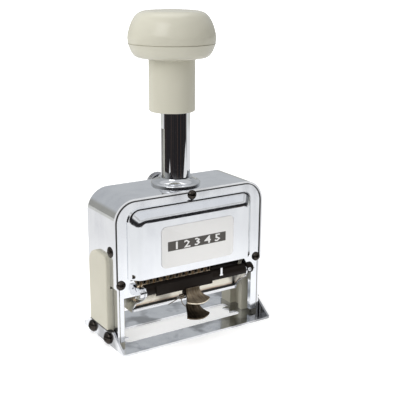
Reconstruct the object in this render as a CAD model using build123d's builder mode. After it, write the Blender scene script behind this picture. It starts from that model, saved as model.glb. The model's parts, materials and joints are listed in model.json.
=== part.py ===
from build123d import *
import os

# Hand numbering machine with twelve number wheels. Millimetres.
# X runs to the right, Y to the back and Z up. The origin is on the ground, in the
# middle of the machine's footprint, and the front of the machine faces -Y.

# ---------------------------------------------------------------- driving dimensions
# Frame strap: the bent band that makes the top and both side walls
frame_width = 100.0
frame_top = 86.5
frame_front = -13.2
frame_rear = 19.9
strap_thick = 1.2
strap_corner = 13.2
leg_inset = 1.2
leg_step = 36.5
stiffener_width = 48.0
stiffener_thick = 3.5

# Covers: plates that sit inside the strap's edges, with a pressed raised panel
cover_thick = 1.0
cover_gap = 0.5
cover_foot = 3.5
leg_inner = (44.6, 42.8)
leg_return = 2.9
panel_half = 41.75
panel_top = 80.9
panel_bottom = 40.3
panel_corner = 7.0
panel_height = 5.0
panel_slope = 5.4
rear_panel_top = 72.0
rear_panel_height = 3.0
rear_window_top = 34.0
panel_slope_extra = 0.8
panel_rounding = 5.0
panel_wall = 0.4
relief_hole_r = 1.2
label_centre = (1.2, 56.75)
label_size = (48.6, 24.4)
label_thick = 0.4
label_corner = 3.0
ear_inner = 36.3
ear_bottom = 29.7
ear_height = 6.0
ear_slope = 2.4

# Base: a plate with a print window and two bent-up side flanges
base_half = 50.6
base_front = -24.0
base_rear = 30.0
base_thick = 1.2
flange_top = 9.5
flange_flat = (-10.6, 16.5)
flange_foot = (-22.5, 28.5)
window_left = -42.0
window_right = 37.0
window_front = -10.9
window_rear = 7.9
window_corner = 2.5
base_corner = 2.0
pointer_half = 4.1
pointer_tip = 4.3
pointer_notch = 2.0

# Plunger, guide collar and knob
shaft_y = 5.0
shaft_r = 8.55
shaft_bore = 6.6
shaft_bottom = 52.0
shaft_top = 150.0
running = 0.05
collar_r = 14.5
collar_height = 4.4
collar_rim = 1.7
stem_r = 10.0
stem_bottom = 76.6
keyway_width = 3.6
keyway_depth = 1.0
keyway_top = 119.5
knob_x = -2.05
knob_y = 5.3
sleeve_r = 13.15
sleeve_bottom = 129.4
sleeve_mouth_r = 11.2
sleeve_recess = 2.5
head_bottom = 160.0
seam = 167.4
knob_top = 185.6
seam_gap = 0.5
seam_depth = 0.5
head_under_r = 19.6
head_seam_r = 24.5
stroke = 26.0

# Return spring: inside the tube, on a cross pin that the tube's slot slides past
pin_z = 61.5
pin_r = 2.0
bridge_gap = 12.0
bridge_width = 10.0
bridge_thick = 1.5
bridge_bottom = 57.6
spring_top = 128.0
spring_r = 4.9
spring_wire = 0.7
spring_turns = 13
plug_stem = 12.0
plug_stem_r = 3.0

# Carriage and number wheels
axle_y = -1.3
axle_z = 36.5
axle_r = 2.5
wheel_count = 12
wheel_r = 10.3
wheel_pitch = 4.3
wheel_left = -36.4
rim_width = 3.0
figure_gap = 2.0
figure_depth = 0.85
ratchet_r = 7.4
ratchet_width = 1.1
tooth_depth = 1.6
tooth_lead = 4.0
figures = 10
cheek_inner = 37.6
cheek_outer = 40.4
cheek_end_r = 4.6
beam_bottom = 50.0
beam_top = 56.0
arm_width = 16.0
cross_arm_thick = 3.0
stop_pad_width = 8.0
sleeve_end = 35.7
drum_r = 8.8
clip_r = 4.2
clip_thick = 0.6

# Detent comb behind the wheels, and the pawls above them
comb_y = 9.9
comb_thick = 0.5
comb_slit = 0.9
pawl_angle = 60.0
pawl_bar_radius = 12.6
pawl_bar_r = 1.2
pawl_reach = 0.35
pawl_width = 1.0
pawl_arm_thick = 0.8

# Side guides: moulded columns with a slot for the carriage
guide_inner = 41.0
guide_front = -10.0
guide_rear = 16.0
guide_top = 70.0
guide_step = 30.0
guide_step_depth = 3.5
slot_front = -3.0
slot_rear = 6.0
slot_depth = 4.0

# Side covers: moulded plates outside the strap
side_front = -7.3
side_rear = 15.0
side_top = 53.9
side_proud = 2.5
side_front_corner = 4.5
side_rear_corner = 9.0
side_tongue = 21.6

# Ink pad: a tray that swings about a rod in front of the wheels
rod_y = -17.0
rod_z = 32.5
rod_r = 1.5
rod_left = -37.9
rod_right = 41.5
bar_r = 3.2
bar_rise = 1.1
bar_left = -33.6
ring_r = 3.5
ring_slot = 0.9
web_height = 4.0
block_right = 39.6
rod_screw_x = 36.6
arm_outer = 35.3
arm_thick = 1.0
left_arm_thick = 0.7
tray_left = -37.2
joggle = (25.2, 26.2)
tray_front = -8.2
tray_rear = 5.4
tray_floor = 17.6
tray_sheet = 0.9
tray_lip = 2.0
tray_back = 5.0
pad_bottom = 20.4
pad_top = 25.3
pad_gap = 0.2
pad_right = 33.6

# Finger tabs on the pad bar
tab_x = -4.6
tab_root = 8.8
tab_tip = 17.0
tab_front = -30.0
tab_thick = 0.8
tab_drop = 9.5
tab_pin_y = -20.3
tab_pin_z = 26.4
tab_pin_r = 0.85
tab_barrel_r = 1.35
tab_neck = 7.6
tab_root_z = 31.0
tab_knee = (-22.9, 28.0)
tab_knee_back = (-22.2, 27.3)
tab_bend = (-26.2, 26.6)
tab_tip_z = 25.9
tab_shoulder_y = -28.9
tab_side_arc = 22.0
tab_corner = 0.6
tab_spring_x = -12.8
tab_spring_r = 1.2
tab_spring_wire = 0.25
tab_spring_pitch = 0.65
tab_spring_length = 2.6
tab_pin_length = 15.0
plate_centre_x = -9.25
plate_width = 37.5
plate_thick = 0.7
plate_bottom = 30.35
plate_top = 36.4
lug_thick = 1.2
lug_depth = 2.4
lug_bottom = 25.0
clip_x = 15.9
clip_foot = 33.8
clip_height = 4.8
clip_width = 1.4
clip_foot_width = 2.2
clip_foot_height = 0.9
clip_thick = 0.8

# Stop button and repeat dial on the back
button_z = 81.5
button_head_y = 24.3
button_head = 5.2
button_stem_y = 18.2
button_r = 7.0
dial_x = 22.0
dial_z = 54.0
dial_r = 10.0
dial_thick = 3.0
dial_hub_r = 5.2
dial_hub = 2.4
dial_notches = 24
dial_stem_r = 2.5
bush_r = 3.6
bush_flange = 0.7
button_stem_r = 1.6

# Fasteners
small_screw_r = 1.1
screw_r = 1.5
base_screw_y = (-4.6, 15.4)
base_screw_z = 4.0
front_screw = (46.2, 37.9)
top_screw_z = 83.6
rear_screw_x = 18.0
side_screw = (-8.3, 56.7)
side_screw_head = 3.1
small_screw_length = 8.0
base_screw_length = 5.4
side_screw_length = 6.5

# ---------------------------------------------------------------- derived sizes
cover_inset = strap_thick + cover_gap
strap_inner = frame_width / 2 - leg_inset - strap_thick
panel_face = frame_front - panel_height
top_plate_top = frame_top - strap_thick
top_plate_bottom = top_plate_top - stiffener_thick
flange_inner = base_half - base_thick
rear_face = frame_rear + rear_panel_height
collar_top = frame_top + collar_height
wheel_end = wheel_left + wheel_count * wheel_pitch
slot_top = pin_z + stroke + pin_r + 0.3
slot_middle = (slot_front + slot_rear) / 2
tongue_width = slot_rear - slot_front - 0.2
tooth_angle = 360 / figures
bar_front = rod_y - bar_r
bar_middle = rod_z + bar_rise
plate_face = bar_front - plate_thick
tray_middle = (tray_front + tray_rear) / 2

os.makedirs("parts", exist_ok=True)


def write(builder, name):
    """Label a finished piece and write its STEP file."""
    builder.part.label = name
    export_step(builder.part, f"parts/{name}.step")


def front_plane(y):
    """The plane across the machine at depth y: local x is X, local y is Z."""
    return Plane.XZ.offset(-y)


def side_plane(x):
    """The plane from front to back at x: local x is Y, local y is Z."""
    return Plane.YZ.offset(x)


def housing_outline(inset, foot, y):
    """Front view of the housing, inset all round and standing at height foot."""
    upper = frame_width / 2 - inset
    lower = upper - leg_inset
    top = frame_top - inset
    with BuildSketch(front_plane(y)) as outline:
        with BuildLine():
            Polyline(
                (-lower, foot), (-lower, leg_step - leg_inset), (-upper, leg_step), (-upper, top),
                (upper, top), (upper, leg_step), (lower, leg_step - leg_inset), (lower, foot),
                close=True,
            )
        make_face()
        fillet(outline.vertices().group_by(Axis.Y)[-1], radius=strap_corner - inset)
    return outline.sketch


def panel_outline(half, bottom, top, corner, y):
    """Outline of a raised panel: square at the bottom, rounded at the top corners."""
    with BuildSketch(front_plane(y)) as outline:
        with Locations((0, (bottom + top) / 2)):
            Rectangle(2 * half, top - bottom)
        fillet(outline.vertices().group_by(Axis.Y)[-1], radius=corner)
    return outline.sketch


def round_screw(head_r, head_height, shank_r, length):
    """Round-head screw with a cross recess, its head's underside at Z = 0."""
    recess = head_r * 1.1
    with BuildPart() as screw:
        with BuildSketch(Plane.XZ):
            with BuildLine():
                Polyline((0, head_height), (0, 0), (head_r, 0), (head_r, 0.25 * head_height))
                RadiusArc((head_r, 0.25 * head_height), (0, head_height), -1.35 * head_r)
            make_face()
        revolve(axis=Axis.Z)
        with Locations((0, 0, head_height)):
            Box(recess, 0.14 * recess, head_height, mode=Mode.SUBTRACT)
            Box(0.14 * recess, recess, head_height, mode=Mode.SUBTRACT)
        Cylinder(shank_r, length, align=(Align.CENTER, Align.CENTER, Align.MAX))
    return screw.part


# ---------------------------------------------------------------- frame strap
with BuildPart() as frame_strap:
    extrude(housing_outline(0, base_thick, frame_rear), amount=frame_rear - frame_front)
    extrude(
        housing_outline(strap_thick, base_thick - 1, frame_rear),
        amount=frame_rear - frame_front,
        mode=Mode.SUBTRACT,
    )
    with Locations((0, shaft_y, frame_top)):
        Hole(stem_r + running, 2 * strap_thick)
    for side in (-1, 1):
        wall = Plane(origin=(side * frame_width / 2, 0, 0), x_dir=(0, side, 0), z_dir=(side, 0, 0))
        with Locations(wall.offset(1)):
            with Locations((side * side_screw[0], side_screw[1])):
                Hole(screw_r + running, 4)
            with Locations(*[(side * y, base_screw_z) for y in base_screw_y]):
                Hole(screw_r + running, 6)
write(frame_strap, "frame_strap")

# ---------------------------------------------------------------- top plate under the strap
with BuildPart() as top_plate:
    with Locations((0, (frame_front + frame_rear) / 2, top_plate_bottom)):
        Box(
            stiffener_width, frame_rear - frame_front - 2 * cover_thick - 0.1, stiffener_thick,
            align=(Align.CENTER, Align.CENTER, Align.MIN),
        )
    with Locations((0, shaft_y, top_plate_top)):
        Hole(stem_r + running, stiffener_thick + 1)
    # Clearance for the stop button's stem
    with Locations((0, frame_rear - 3, top_plate_bottom)):
        Box(3 * button_stem_r, 8, 10, mode=Mode.SUBTRACT)
    with Locations(Plane(origin=(0, frame_front, top_screw_z), z_dir=(0, -1, 0))):
        Hole(small_screw_r + running, small_screw_length + 0.2)
    with Locations(Plane(origin=(0, frame_rear, top_screw_z), x_dir=(1, 0, 0), z_dir=(0, 1, 0))):
        with Locations((-rear_screw_x, 0), (rear_screw_x, 0)):
            Hole(small_screw_r + running, small_screw_length + 0.2)
write(top_plate, "top_plate")

# ---------------------------------------------------------------- guide collar
with BuildPart() as guide_collar:
    with BuildSketch(Plane.XZ.offset(-shaft_y)):
        with BuildLine():
            Polyline(
                (shaft_r + running, stem_bottom), (stem_r, stem_bottom), (stem_r, frame_top),
                (collar_r, frame_top), (collar_r, frame_top + 0.9),
            )
            ThreePointArc(
                (collar_r, frame_top + 0.9), (collar_r - 0.5, frame_top + collar_rim - 0.2),
                (collar_r - 1.4, frame_top + collar_rim),
            )
            RadiusArc((collar_r - 1.4, frame_top + collar_rim), (stem_r - 0.2, collar_top), 5.0)
            Polyline(
                (stem_r - 0.2, collar_top), (shaft_r + running, collar_top),
                (shaft_r + running, stem_bottom),
            )
        make_face()
    revolve(axis=Axis((0, shaft_y, 0), (0, 0, 1)))
    # Key that runs in the shaft's keyway
    with Locations((-shaft_r - running, shaft_y, frame_top)):
        Box(
            1.6, keyway_width - 0.2, collar_height - 0.6,
            align=(Align.CENTER, Align.CENTER, Align.MIN),
        )
write(guide_collar, "guide_collar")


# ---------------------------------------------------------------- covers
def panel_block(half, bottom, top, corner, slope, y, height, outward):
    """Solid block of a raised panel: it narrows by its slope from the plate at y outwards."""
    with BuildPart() as block:
        loft([
            panel_outline(half, bottom, top, corner, y),
            panel_outline(
                half - slope, bottom, top - slope - panel_slope_extra, corner - 2.5,
                y + outward * height,
            ),
        ])
        face = block.faces().sort_by(Axis.Y)[0 if outward < 0 else -1]
        rim = face.edges().filter_by_position(Axis.Z, bottom + 0.5, frame_top)
        fillet(rim, radius=panel_rounding)
    return block.part


def raised_cover(face, outward, bottom, top, height, window):
    """Cover plate with a pressed panel; outward is -1 for the front and 1 for the rear."""
    wall = panel_wall
    outer = panel_block(panel_half, bottom, top, panel_corner, panel_slope, face, height, outward)
    inner = panel_block(
        panel_half - wall, bottom - 1, top - wall, panel_corner - wall, panel_slope,
        face - outward * cover_thick, height, outward,
    )
    with BuildPart() as cover:
        extrude(housing_outline(cover_inset, cover_foot, face), amount=outward * cover_thick)
        add(outer)
        add(inner, mode=Mode.SUBTRACT)
        with BuildSketch(front_plane(face + outward * (height + 1))):
            with BuildLine():
                Polyline(*window, close=True)
            make_face()
        extrude(amount=outward * (height + cover_thick + 2), mode=Mode.SUBTRACT)
    return cover.part


def both_sides(points):
    """A list of points on the left, followed by its mirror image on the right."""
    return points + [(-x, y) for x, y in reversed(points)]


ear_edge = both_sides([
    (-ear_inner, ear_bottom), (-ear_inner, ear_bottom + ear_height),
    (-ear_inner - ear_slope, panel_bottom),
])
leg_left, leg_right = leg_inner
front_window = [
    (-leg_left, cover_foot - 1), (-leg_left, ear_bottom), *ear_edge,
    (leg_right, ear_bottom), (leg_right, cover_foot - 1),
]
with BuildPart() as front_cover:
    add(raised_cover(frame_front, -1, panel_bottom, panel_top, panel_height, front_window))
    with Locations(front_plane(panel_face)):
        # Relief holes at the panel's lower corners
        with Locations((-panel_half + 2, panel_bottom + 2), (panel_half - 2, panel_bottom + 2)):
            Hole(relief_hole_r, 8)
    with Locations(Plane(origin=(0, frame_front, 0), x_dir=(1, 0, 0), z_dir=(0, -1, 0))):
        with Locations((0, top_screw_z), front_screw, (-front_screw[0], front_screw[1])):
            Hole(small_screw_r + running, cover_thick)
    # The legs' inner edges are bent back
    for edge, towards in ((-leg_left, Align.MAX), (leg_right, Align.MIN)):
        with Locations((edge, frame_front, cover_foot)):
            Box(
                cover_thick, leg_return, ear_bottom - cover_foot,
                align=(towards, Align.MIN, Align.MIN),
            )
write(front_cover, "front_cover")

rear_window = both_sides([(-leg_right, cover_foot - 1), (-leg_right, rear_window_top)])
with BuildPart() as rear_cover:
    add(raised_cover(
        frame_rear, 1, rear_window_top + 3, rear_panel_top, rear_panel_height, rear_window,
    ))
    with Locations(Plane(origin=(0, frame_rear, 0), x_dir=(-1, 0, 0), z_dir=(0, 1, 0))):
        with Locations((-rear_screw_x, top_screw_z), (rear_screw_x, top_screw_z)):
            Hole(small_screw_r + running, cover_thick)
        with Locations((-front_screw[0], front_screw[1]), front_screw):
            Hole(small_screw_r + running, cover_thick)
        with Locations((0, button_z)):
            Hole(bush_r, cover_thick)
    with Locations(Plane(origin=(0, rear_face, 0), x_dir=(-1, 0, 0), z_dir=(0, 1, 0))):
        with Locations((-dial_x, dial_z)):
            Hole(dial_stem_r + running, 5)
write(rear_cover, "rear_cover")

with BuildPart() as label_plate:
    with BuildSketch(front_plane(panel_face)):
        with Locations(label_centre):
            RectangleRounded(*label_size, label_corner)
    extrude(amount=label_thick)
write(label_plate, "label_plate")

# ---------------------------------------------------------------- base plate
with BuildPart() as base_plate:
    base_middle = (base_front + base_rear) / 2
    with BuildSketch() as footprint:
        with Locations((0, base_middle)):
            Rectangle(2 * base_half, base_rear - base_front)
        fillet(footprint.vertices(), radius=base_corner)
        with Locations(((window_left + window_right) / 2, (window_front + window_rear) / 2)):
            RectangleRounded(
                window_right - window_left, window_rear - window_front, window_corner,
                mode=Mode.SUBTRACT,
            )
        # Forked pointers that mark the line of print
        for side, end in ((-1, window_left), (1, window_right)):
            with BuildLine():
                Polyline(
                    (end + side, axle_y - pointer_half),
                    (end - side * pointer_tip, axle_y - pointer_half + 0.3),
                    (end - side * pointer_notch, axle_y),
                    (end - side * pointer_tip, axle_y + pointer_half - 0.3),
                    (end + side, axle_y + pointer_half),
                    close=True,
                )
            make_face()
    extrude(amount=base_thick)
    for side in (-1, 1):
        with BuildSketch(side_plane(side * base_half)):
            with BuildLine():
                Polyline(
                    (flange_foot[0], base_thick), (flange_flat[0], flange_top),
                    (flange_flat[1], flange_top), (flange_foot[1], base_thick), close=True,
                )
            make_face()
            with Locations(*[(y, base_screw_z) for y in base_screw_y]):
                Circle(screw_r + running, mode=Mode.SUBTRACT)
        extrude(amount=-side * base_thick)
write(base_plate, "base_plate")


# ---------------------------------------------------------------- side covers and guides
with BuildPart() as side_cover_left:
    # Outer plate
    with BuildSketch(side_plane(-frame_width / 2)) as outline:
        with Locations(((side_front + side_rear) / 2, (flange_top + 0.1 + side_top) / 2)):
            Rectangle(side_rear - side_front, side_top - flange_top - 0.1)
        top_corners = outline.vertices().group_by(Axis.Y)[-1].sort_by(Axis.X)
        fillet(top_corners[0], radius=side_front_corner)
        fillet(
            outline.vertices().group_by(Axis.Y)[-1].sort_by(Axis.X)[-1], radius=side_rear_corner,
        )
        fillet(outline.vertices().group_by(Axis.Y)[0], radius=1.2)
    extrude(amount=-side_proud)
    fillet(side_cover_left.faces().sort_by(Axis.X)[0].edges(), radius=0.9)
    # Thicker lower half, over the part of the side wall that steps in
    with Locations((-frame_width / 2, (side_front + side_rear) / 2, flange_top + 0.1)):
        Box(
            leg_inset, side_rear - side_front - 1.0, leg_step - leg_inset - flange_top - 1.0,
            align=(Align.MIN, Align.CENTER, Align.MIN),
        )
    # Tongue between the side wall and the base flange
    with Locations((-frame_width / 2 + leg_inset, (side_front + side_rear) / 2, base_thick)):
        Box(
            flange_inner - frame_width / 2 + leg_inset, side_tongue, flange_top - base_thick + 0.6,
            align=(Align.MAX, Align.CENTER, Align.MIN),
        )
    with Locations(side_plane(-base_half)):
        with Locations(*[(y, base_screw_z) for y in base_screw_y]):
            Cylinder(screw_r + running, 20, mode=Mode.SUBTRACT)
write(side_cover_left, "side_cover_left")

with BuildPart() as side_guide_left:
    with Locations((-strap_inner + 0.05, (guide_front + guide_rear) / 2, base_thick)):
        Box(
            strap_inner - 0.05 - guide_inner, guide_rear - guide_front, guide_top - base_thick,
            align=(Align.MIN, Align.CENTER, Align.MIN),
        )
    fillet(side_guide_left.edges().filter_by(Axis.Z).sort_by(Axis.X)[-2:], radius=0.8)
    with Locations((-guide_inner, slot_middle, base_thick)):
        Box(
            slot_depth, slot_rear - slot_front, guide_top,
            align=(Align.MAX, Align.CENTER, Align.MIN), mode=Mode.SUBTRACT,
        )
    # The lower part stands back behind the cover's leg
    with Locations((-strap_inner, guide_front, base_thick)):
        Box(
            strap_inner, guide_step_depth, guide_step - base_thick,
            align=(Align.MIN, Align.MIN, Align.MIN), mode=Mode.SUBTRACT,
        )
    with Locations(Plane(origin=(-strap_inner, 0, 0), x_dir=(0, 1, 0), z_dir=(-1, 0, 0))):
        with Locations(*[(y, -base_screw_z) for y in base_screw_y]):
            Hole(screw_r + running, base_screw_length - base_half + strap_inner)
        with Locations((side_screw[0], -side_screw[1])):
            Hole(screw_r + running, side_screw_length - frame_width / 2 + strap_inner)
    with Locations(Plane(origin=(-front_screw[0], guide_front, front_screw[1]), z_dir=(0, -1, 0))):
        Hole(small_screw_r + running, 5.6)
    with Locations(Plane(origin=(-front_screw[0], guide_rear, front_screw[1]), z_dir=(0, 1, 0))):
        Hole(small_screw_r + running, 5.6)
write(side_guide_left, "side_guide_left")

with BuildPart() as side_cover_right:
    add(mirror(side_cover_left.part, about=Plane.YZ, mode=Mode.PRIVATE))
write(side_cover_right, "side_cover_right")

with BuildPart() as side_guide_right:
    add(mirror(side_guide_left.part, about=Plane.YZ, mode=Mode.PRIVATE))
write(side_guide_right, "side_guide_right")


# ---------------------------------------------------------------- screws
small_screw = round_screw(2.7, 2.3, small_screw_r, small_screw_length)
large_screw = round_screw(3.6, 3.0, screw_r, base_screw_length)


def facing(point, direction):
    """A plane at a point, facing along a direction, to set a screw on."""
    return Plane(origin=point, z_dir=direction)


with BuildPart() as front_screws:
    for x, z in [(0, top_screw_z), front_screw, (-front_screw[0], front_screw[1])]:
        add(facing((x, frame_front, z), (0, -1, 0)) * small_screw)
write(front_screws, "front_screws")

with BuildPart() as rear_screws:
    for side in (-1, 1):
        for x, z in [(rear_screw_x, top_screw_z), front_screw]:
            add(facing((side * x, frame_rear, z), (0, 1, 0)) * small_screw)
write(rear_screws, "rear_screws")

with BuildPart() as base_screws:
    for side in (-1, 1):
        for y in base_screw_y:
            add(facing((side * base_half, y, base_screw_z), (side, 0, 0)) * large_screw)
write(base_screws, "base_screws")

with BuildPart() as side_screws:
    for side in (-1, 1):
        place = facing((side * frame_width / 2, *side_screw), (side, 0, 0))
        add(place * round_screw(side_screw_head, 1.2, screw_r, side_screw_length))
write(side_screws, "side_screws")

# ---------------------------------------------------------------- spring bridge and cross pin
with BuildPart() as spring_bridge:
    for side in (-1, 1):
        near = shaft_y + side * bridge_gap
        with Locations((0, near + side * bridge_thick / 2, bridge_bottom)):
            Box(
                bridge_width, bridge_thick, top_plate_bottom - bridge_bottom,
                align=(Align.CENTER, Align.CENTER, Align.MIN),
            )
    with Locations(Location((0, shaft_y, pin_z), (90, 0, 0))):
        Cylinder(pin_r, 40, mode=Mode.SUBTRACT)
    with Locations(Location((0, frame_rear, button_z), (90, 0, 0))):
        Cylinder(button_stem_r + 0.3, 10, mode=Mode.SUBTRACT)
write(spring_bridge, "spring_bridge")

with BuildPart() as spring_pin:
    with Locations(Location((0, shaft_y, pin_z), (90, 0, 0))):
        Cylinder(pin_r, 2 * (bridge_gap + bridge_thick))
write(spring_pin, "spring_pin")

# ---------------------------------------------------------------- plunger: shaft, plug, spring
with BuildPart() as plunger_shaft:
    with BuildSketch(Plane.XY.offset(shaft_bottom)):
        with Locations((0, shaft_y)):
            Circle(shaft_r)
            Circle(shaft_bore, mode=Mode.SUBTRACT)
    extrude(amount=shaft_top - shaft_bottom)
    # Slot for the cross pin, right through from front to back
    with BuildSketch(front_plane(shaft_y + shaft_r + 1)):
        slot_bottom = pin_z - pin_r - 0.3
        with Locations((0, (slot_top + slot_bottom) / 2)):
            SlotOverall(slot_top - slot_bottom, 2 * pin_r + 0.2, rotation=90)
    extrude(amount=2 * shaft_r + 2, mode=Mode.SUBTRACT)
    # Keyway on the left
    with Locations((-shaft_r - 1, shaft_y, shaft_bottom + 6)):
        Box(
            1 + keyway_depth, keyway_width, keyway_top - shaft_bottom - 6,
            align=(Align.MIN, Align.CENTER, Align.MIN), mode=Mode.SUBTRACT,
        )
write(plunger_shaft, "plunger_shaft")

with BuildPart() as shaft_plug:
    with BuildSketch(Plane.XY.offset(spring_top)):
        with Locations((0, shaft_y)):
            Circle(shaft_bore)
    extrude(amount=shaft_top - spring_top)
    with BuildSketch(Plane.XY.offset(shaft_top)):
        with Locations((0, shaft_y)):
            Circle(plug_stem_r)
    extrude(amount=plug_stem)
write(shaft_plug, "shaft_plug")


def coil(radius, wire, pitch, length, centre, direction):
    """Round-wire coil: its helix starts at centre and runs along direction."""
    with BuildPart() as spring:
        with BuildLine() as turns:
            Helix(pitch=pitch, height=length, radius=radius, center=centre, direction=direction)
        with BuildSketch(Plane(origin=turns.line @ 0, z_dir=turns.line % 0)):
            Circle(wire)
        sweep(path=turns.line, is_frenet=True)
    return spring.part


with BuildPart() as return_spring:
    spring_foot = pin_z + pin_r + spring_wire + 0.05
    spring_length = spring_top - spring_wire - 0.05 - spring_foot
    add(coil(
        spring_r, spring_wire, spring_length / spring_turns, spring_length,
        (0, shaft_y, spring_foot), (0, 0, 1),
    ))
write(return_spring, "return_spring")

# ---------------------------------------------------------------- knob
knob_axis = Axis((knob_x, knob_y, 0), (0, 0, 1))
knob_plane = Plane(origin=(knob_x, knob_y, 0), x_dir=(1, 0, 0), z_dir=(0, -1, 0))
with BuildPart() as knob_body:
    with BuildSketch(knob_plane):
        with BuildLine():
            Polyline(
                (0, sleeve_bottom + sleeve_recess), (sleeve_mouth_r, sleeve_bottom + sleeve_recess),
                (sleeve_mouth_r, sleeve_bottom), (sleeve_r - 0.6, sleeve_bottom),
            )
            RadiusArc(
                (sleeve_r - 0.6, sleeve_bottom), (sleeve_r, sleeve_bottom + 0.6), -0.6,
            )
            Polyline(
                (sleeve_r, sleeve_bottom + 0.6), (sleeve_r, head_bottom - 1.4),
                (head_under_r, head_bottom - 0.3),
            )
            Spline(
                (head_under_r, head_bottom - 0.3), (head_under_r + 1.3, head_bottom + 0.4),
                (23.1, 163.5), (head_seam_r, seam - seam_gap / 2),
            )
            Polyline(
                (head_seam_r, seam - seam_gap / 2), (0, seam - seam_gap / 2),
                (0, sleeve_bottom + sleeve_recess),
            )
        make_face()
    revolve(axis=knob_axis)
    with Locations((0, shaft_y, sleeve_bottom)):
        Cylinder(
            shaft_r, shaft_top - sleeve_bottom,
            align=(Align.CENTER, Align.CENTER, Align.MIN), mode=Mode.SUBTRACT,
        )
        Cylinder(
            plug_stem_r, shaft_top + plug_stem - sleeve_bottom,
            align=(Align.CENTER, Align.CENTER, Align.MIN), mode=Mode.SUBTRACT,
        )
write(knob_body, "knob_body")

with BuildPart() as knob_cap:
    with BuildSketch(knob_plane):
        with BuildLine():
            # Narrow neck that leaves the seam open all round
            Polyline(
                (0, seam - seam_gap / 2), (head_seam_r - seam_depth, seam - seam_gap / 2),
                (head_seam_r - seam_depth, seam + seam_gap / 2), (head_seam_r, seam + seam_gap / 2),
            )
            Spline(
                (head_seam_r, seam + seam_gap / 2), (24.75, 170.4), (24.4, 173.0), (23.7, 175.6),
                (22.6, 178.5), (20.9, 181.5), (19.2, 183.3), (16.9, 184.5), (12.0, 185.2),
                (6.5, 185.5), (0, knob_top),
                tangents=((0.1, 1), (-1, 0)),
            )
            Line((0, knob_top), (0, seam - seam_gap / 2))
        make_face()
    revolve(axis=knob_axis)
write(knob_cap, "knob_cap")

# ---------------------------------------------------------------- carriage
with BuildPart() as carriage_yoke:
    # Beam across the machine
    with Locations((0, slot_middle, beam_bottom)):
        Box(
            2 * cheek_outer, tongue_width, beam_top - beam_bottom,
            align=(Align.CENTER, Align.CENTER, Align.MIN),
        )
    # Cross arm that carries the stop pads, and the boss for the shaft
    with Locations((0, shaft_y, beam_top)):
        Box(
            arm_width, 2 * (bridge_gap + bridge_thick + 0.3), cross_arm_thick,
            align=(Align.CENTER, Align.CENTER, Align.MAX),
        )
    with Locations((0, shaft_y, beam_bottom)):
        Cylinder(
            shaft_r + 2, beam_top + 1 - beam_bottom,
            align=(Align.CENTER, Align.CENTER, Align.MIN),
        )
    # Cheeks that hold the axle, and tongues that run in the guides
    for side in (-1, 1):
        with BuildSketch(side_plane(side * cheek_inner)):
            with Locations((axle_y, axle_z)):
                Circle(cheek_end_r)
            with Locations((slot_middle, beam_bottom + 1)):
                Rectangle(tongue_width, 2)
            make_hull()
        extrude(amount=side * (cheek_outer - cheek_inner))
        with Locations((side * cheek_outer, slot_middle, axle_z - 2.5)):
            Box(
                slot_depth, tongue_width, beam_top - axle_z + 2.5,
                align=(Align.MIN if side > 0 else Align.MAX, Align.CENTER, Align.MIN),
            )
    with Locations(Location((0, axle_y, axle_z), (0, 90, 0))):
        Cylinder(axle_r, 2 * cheek_outer, mode=Mode.SUBTRACT)
    with Locations((0, shaft_y, shaft_bottom)):
        Cylinder(shaft_r, 20, align=(Align.CENTER, Align.CENTER, Align.MIN), mode=Mode.SUBTRACT)
write(carriage_yoke, "carriage_yoke")

with BuildPart() as stop_pads:
    for side in (-1, 1):
        with Locations((0, shaft_y + side * (bridge_gap + bridge_thick / 2), beam_top)):
            Box(
                stop_pad_width, bridge_thick, bridge_bottom - beam_top - 0.05,
                align=(Align.CENTER, Align.CENTER, Align.MIN),
            )
write(stop_pads, "stop_pads")


def sleeve(left, right, outer, bore):
    """Round sleeve on the wheel axle between two places along X."""
    with BuildPart() as ring:
        with BuildSketch(side_plane(left)):
            with Locations((axle_y, axle_z)):
                Circle(outer)
                if bore > 0:
                    Circle(bore, mode=Mode.SUBTRACT)
        extrude(amount=right - left)
    return ring.part


with BuildPart() as wheel_axle:
    add(sleeve(-cheek_outer, cheek_outer, axle_r, 0))
write(wheel_axle, "wheel_axle")

with BuildPart() as spacer_sleeve:
    add(sleeve(wheel_end + 0.2, sleeve_end, drum_r, axle_r))
    groove_edges = spacer_sleeve.edges().filter_by(GeomType.CIRCLE).sort_by(SortBy.RADIUS)[-2:]
    chamfer(groove_edges, length=0.6)
write(spacer_sleeve, "spacer_sleeve")

with BuildPart() as axle_clip:
    with BuildSketch(side_plane(sleeve_end + 0.1)):
        with Locations((axle_y, axle_z)):
            Circle(clip_r)
            Circle(axle_r, mode=Mode.SUBTRACT)
        with Locations((axle_y, axle_z - 4)):
            Rectangle(2 * axle_r - 1.6, 5, mode=Mode.SUBTRACT)
    extrude(amount=clip_thick)
write(axle_clip, "axle_clip")


# ---------------------------------------------------------------- number wheels

def on_axle(radius, angle):
    """A point at a radius and an angle about the wheel axle, in the side plane."""
    spoke = Vector(radius, 0).rotate(Axis.Z, angle)
    return (axle_y + spoke.X, axle_z + spoke.Y)


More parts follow.
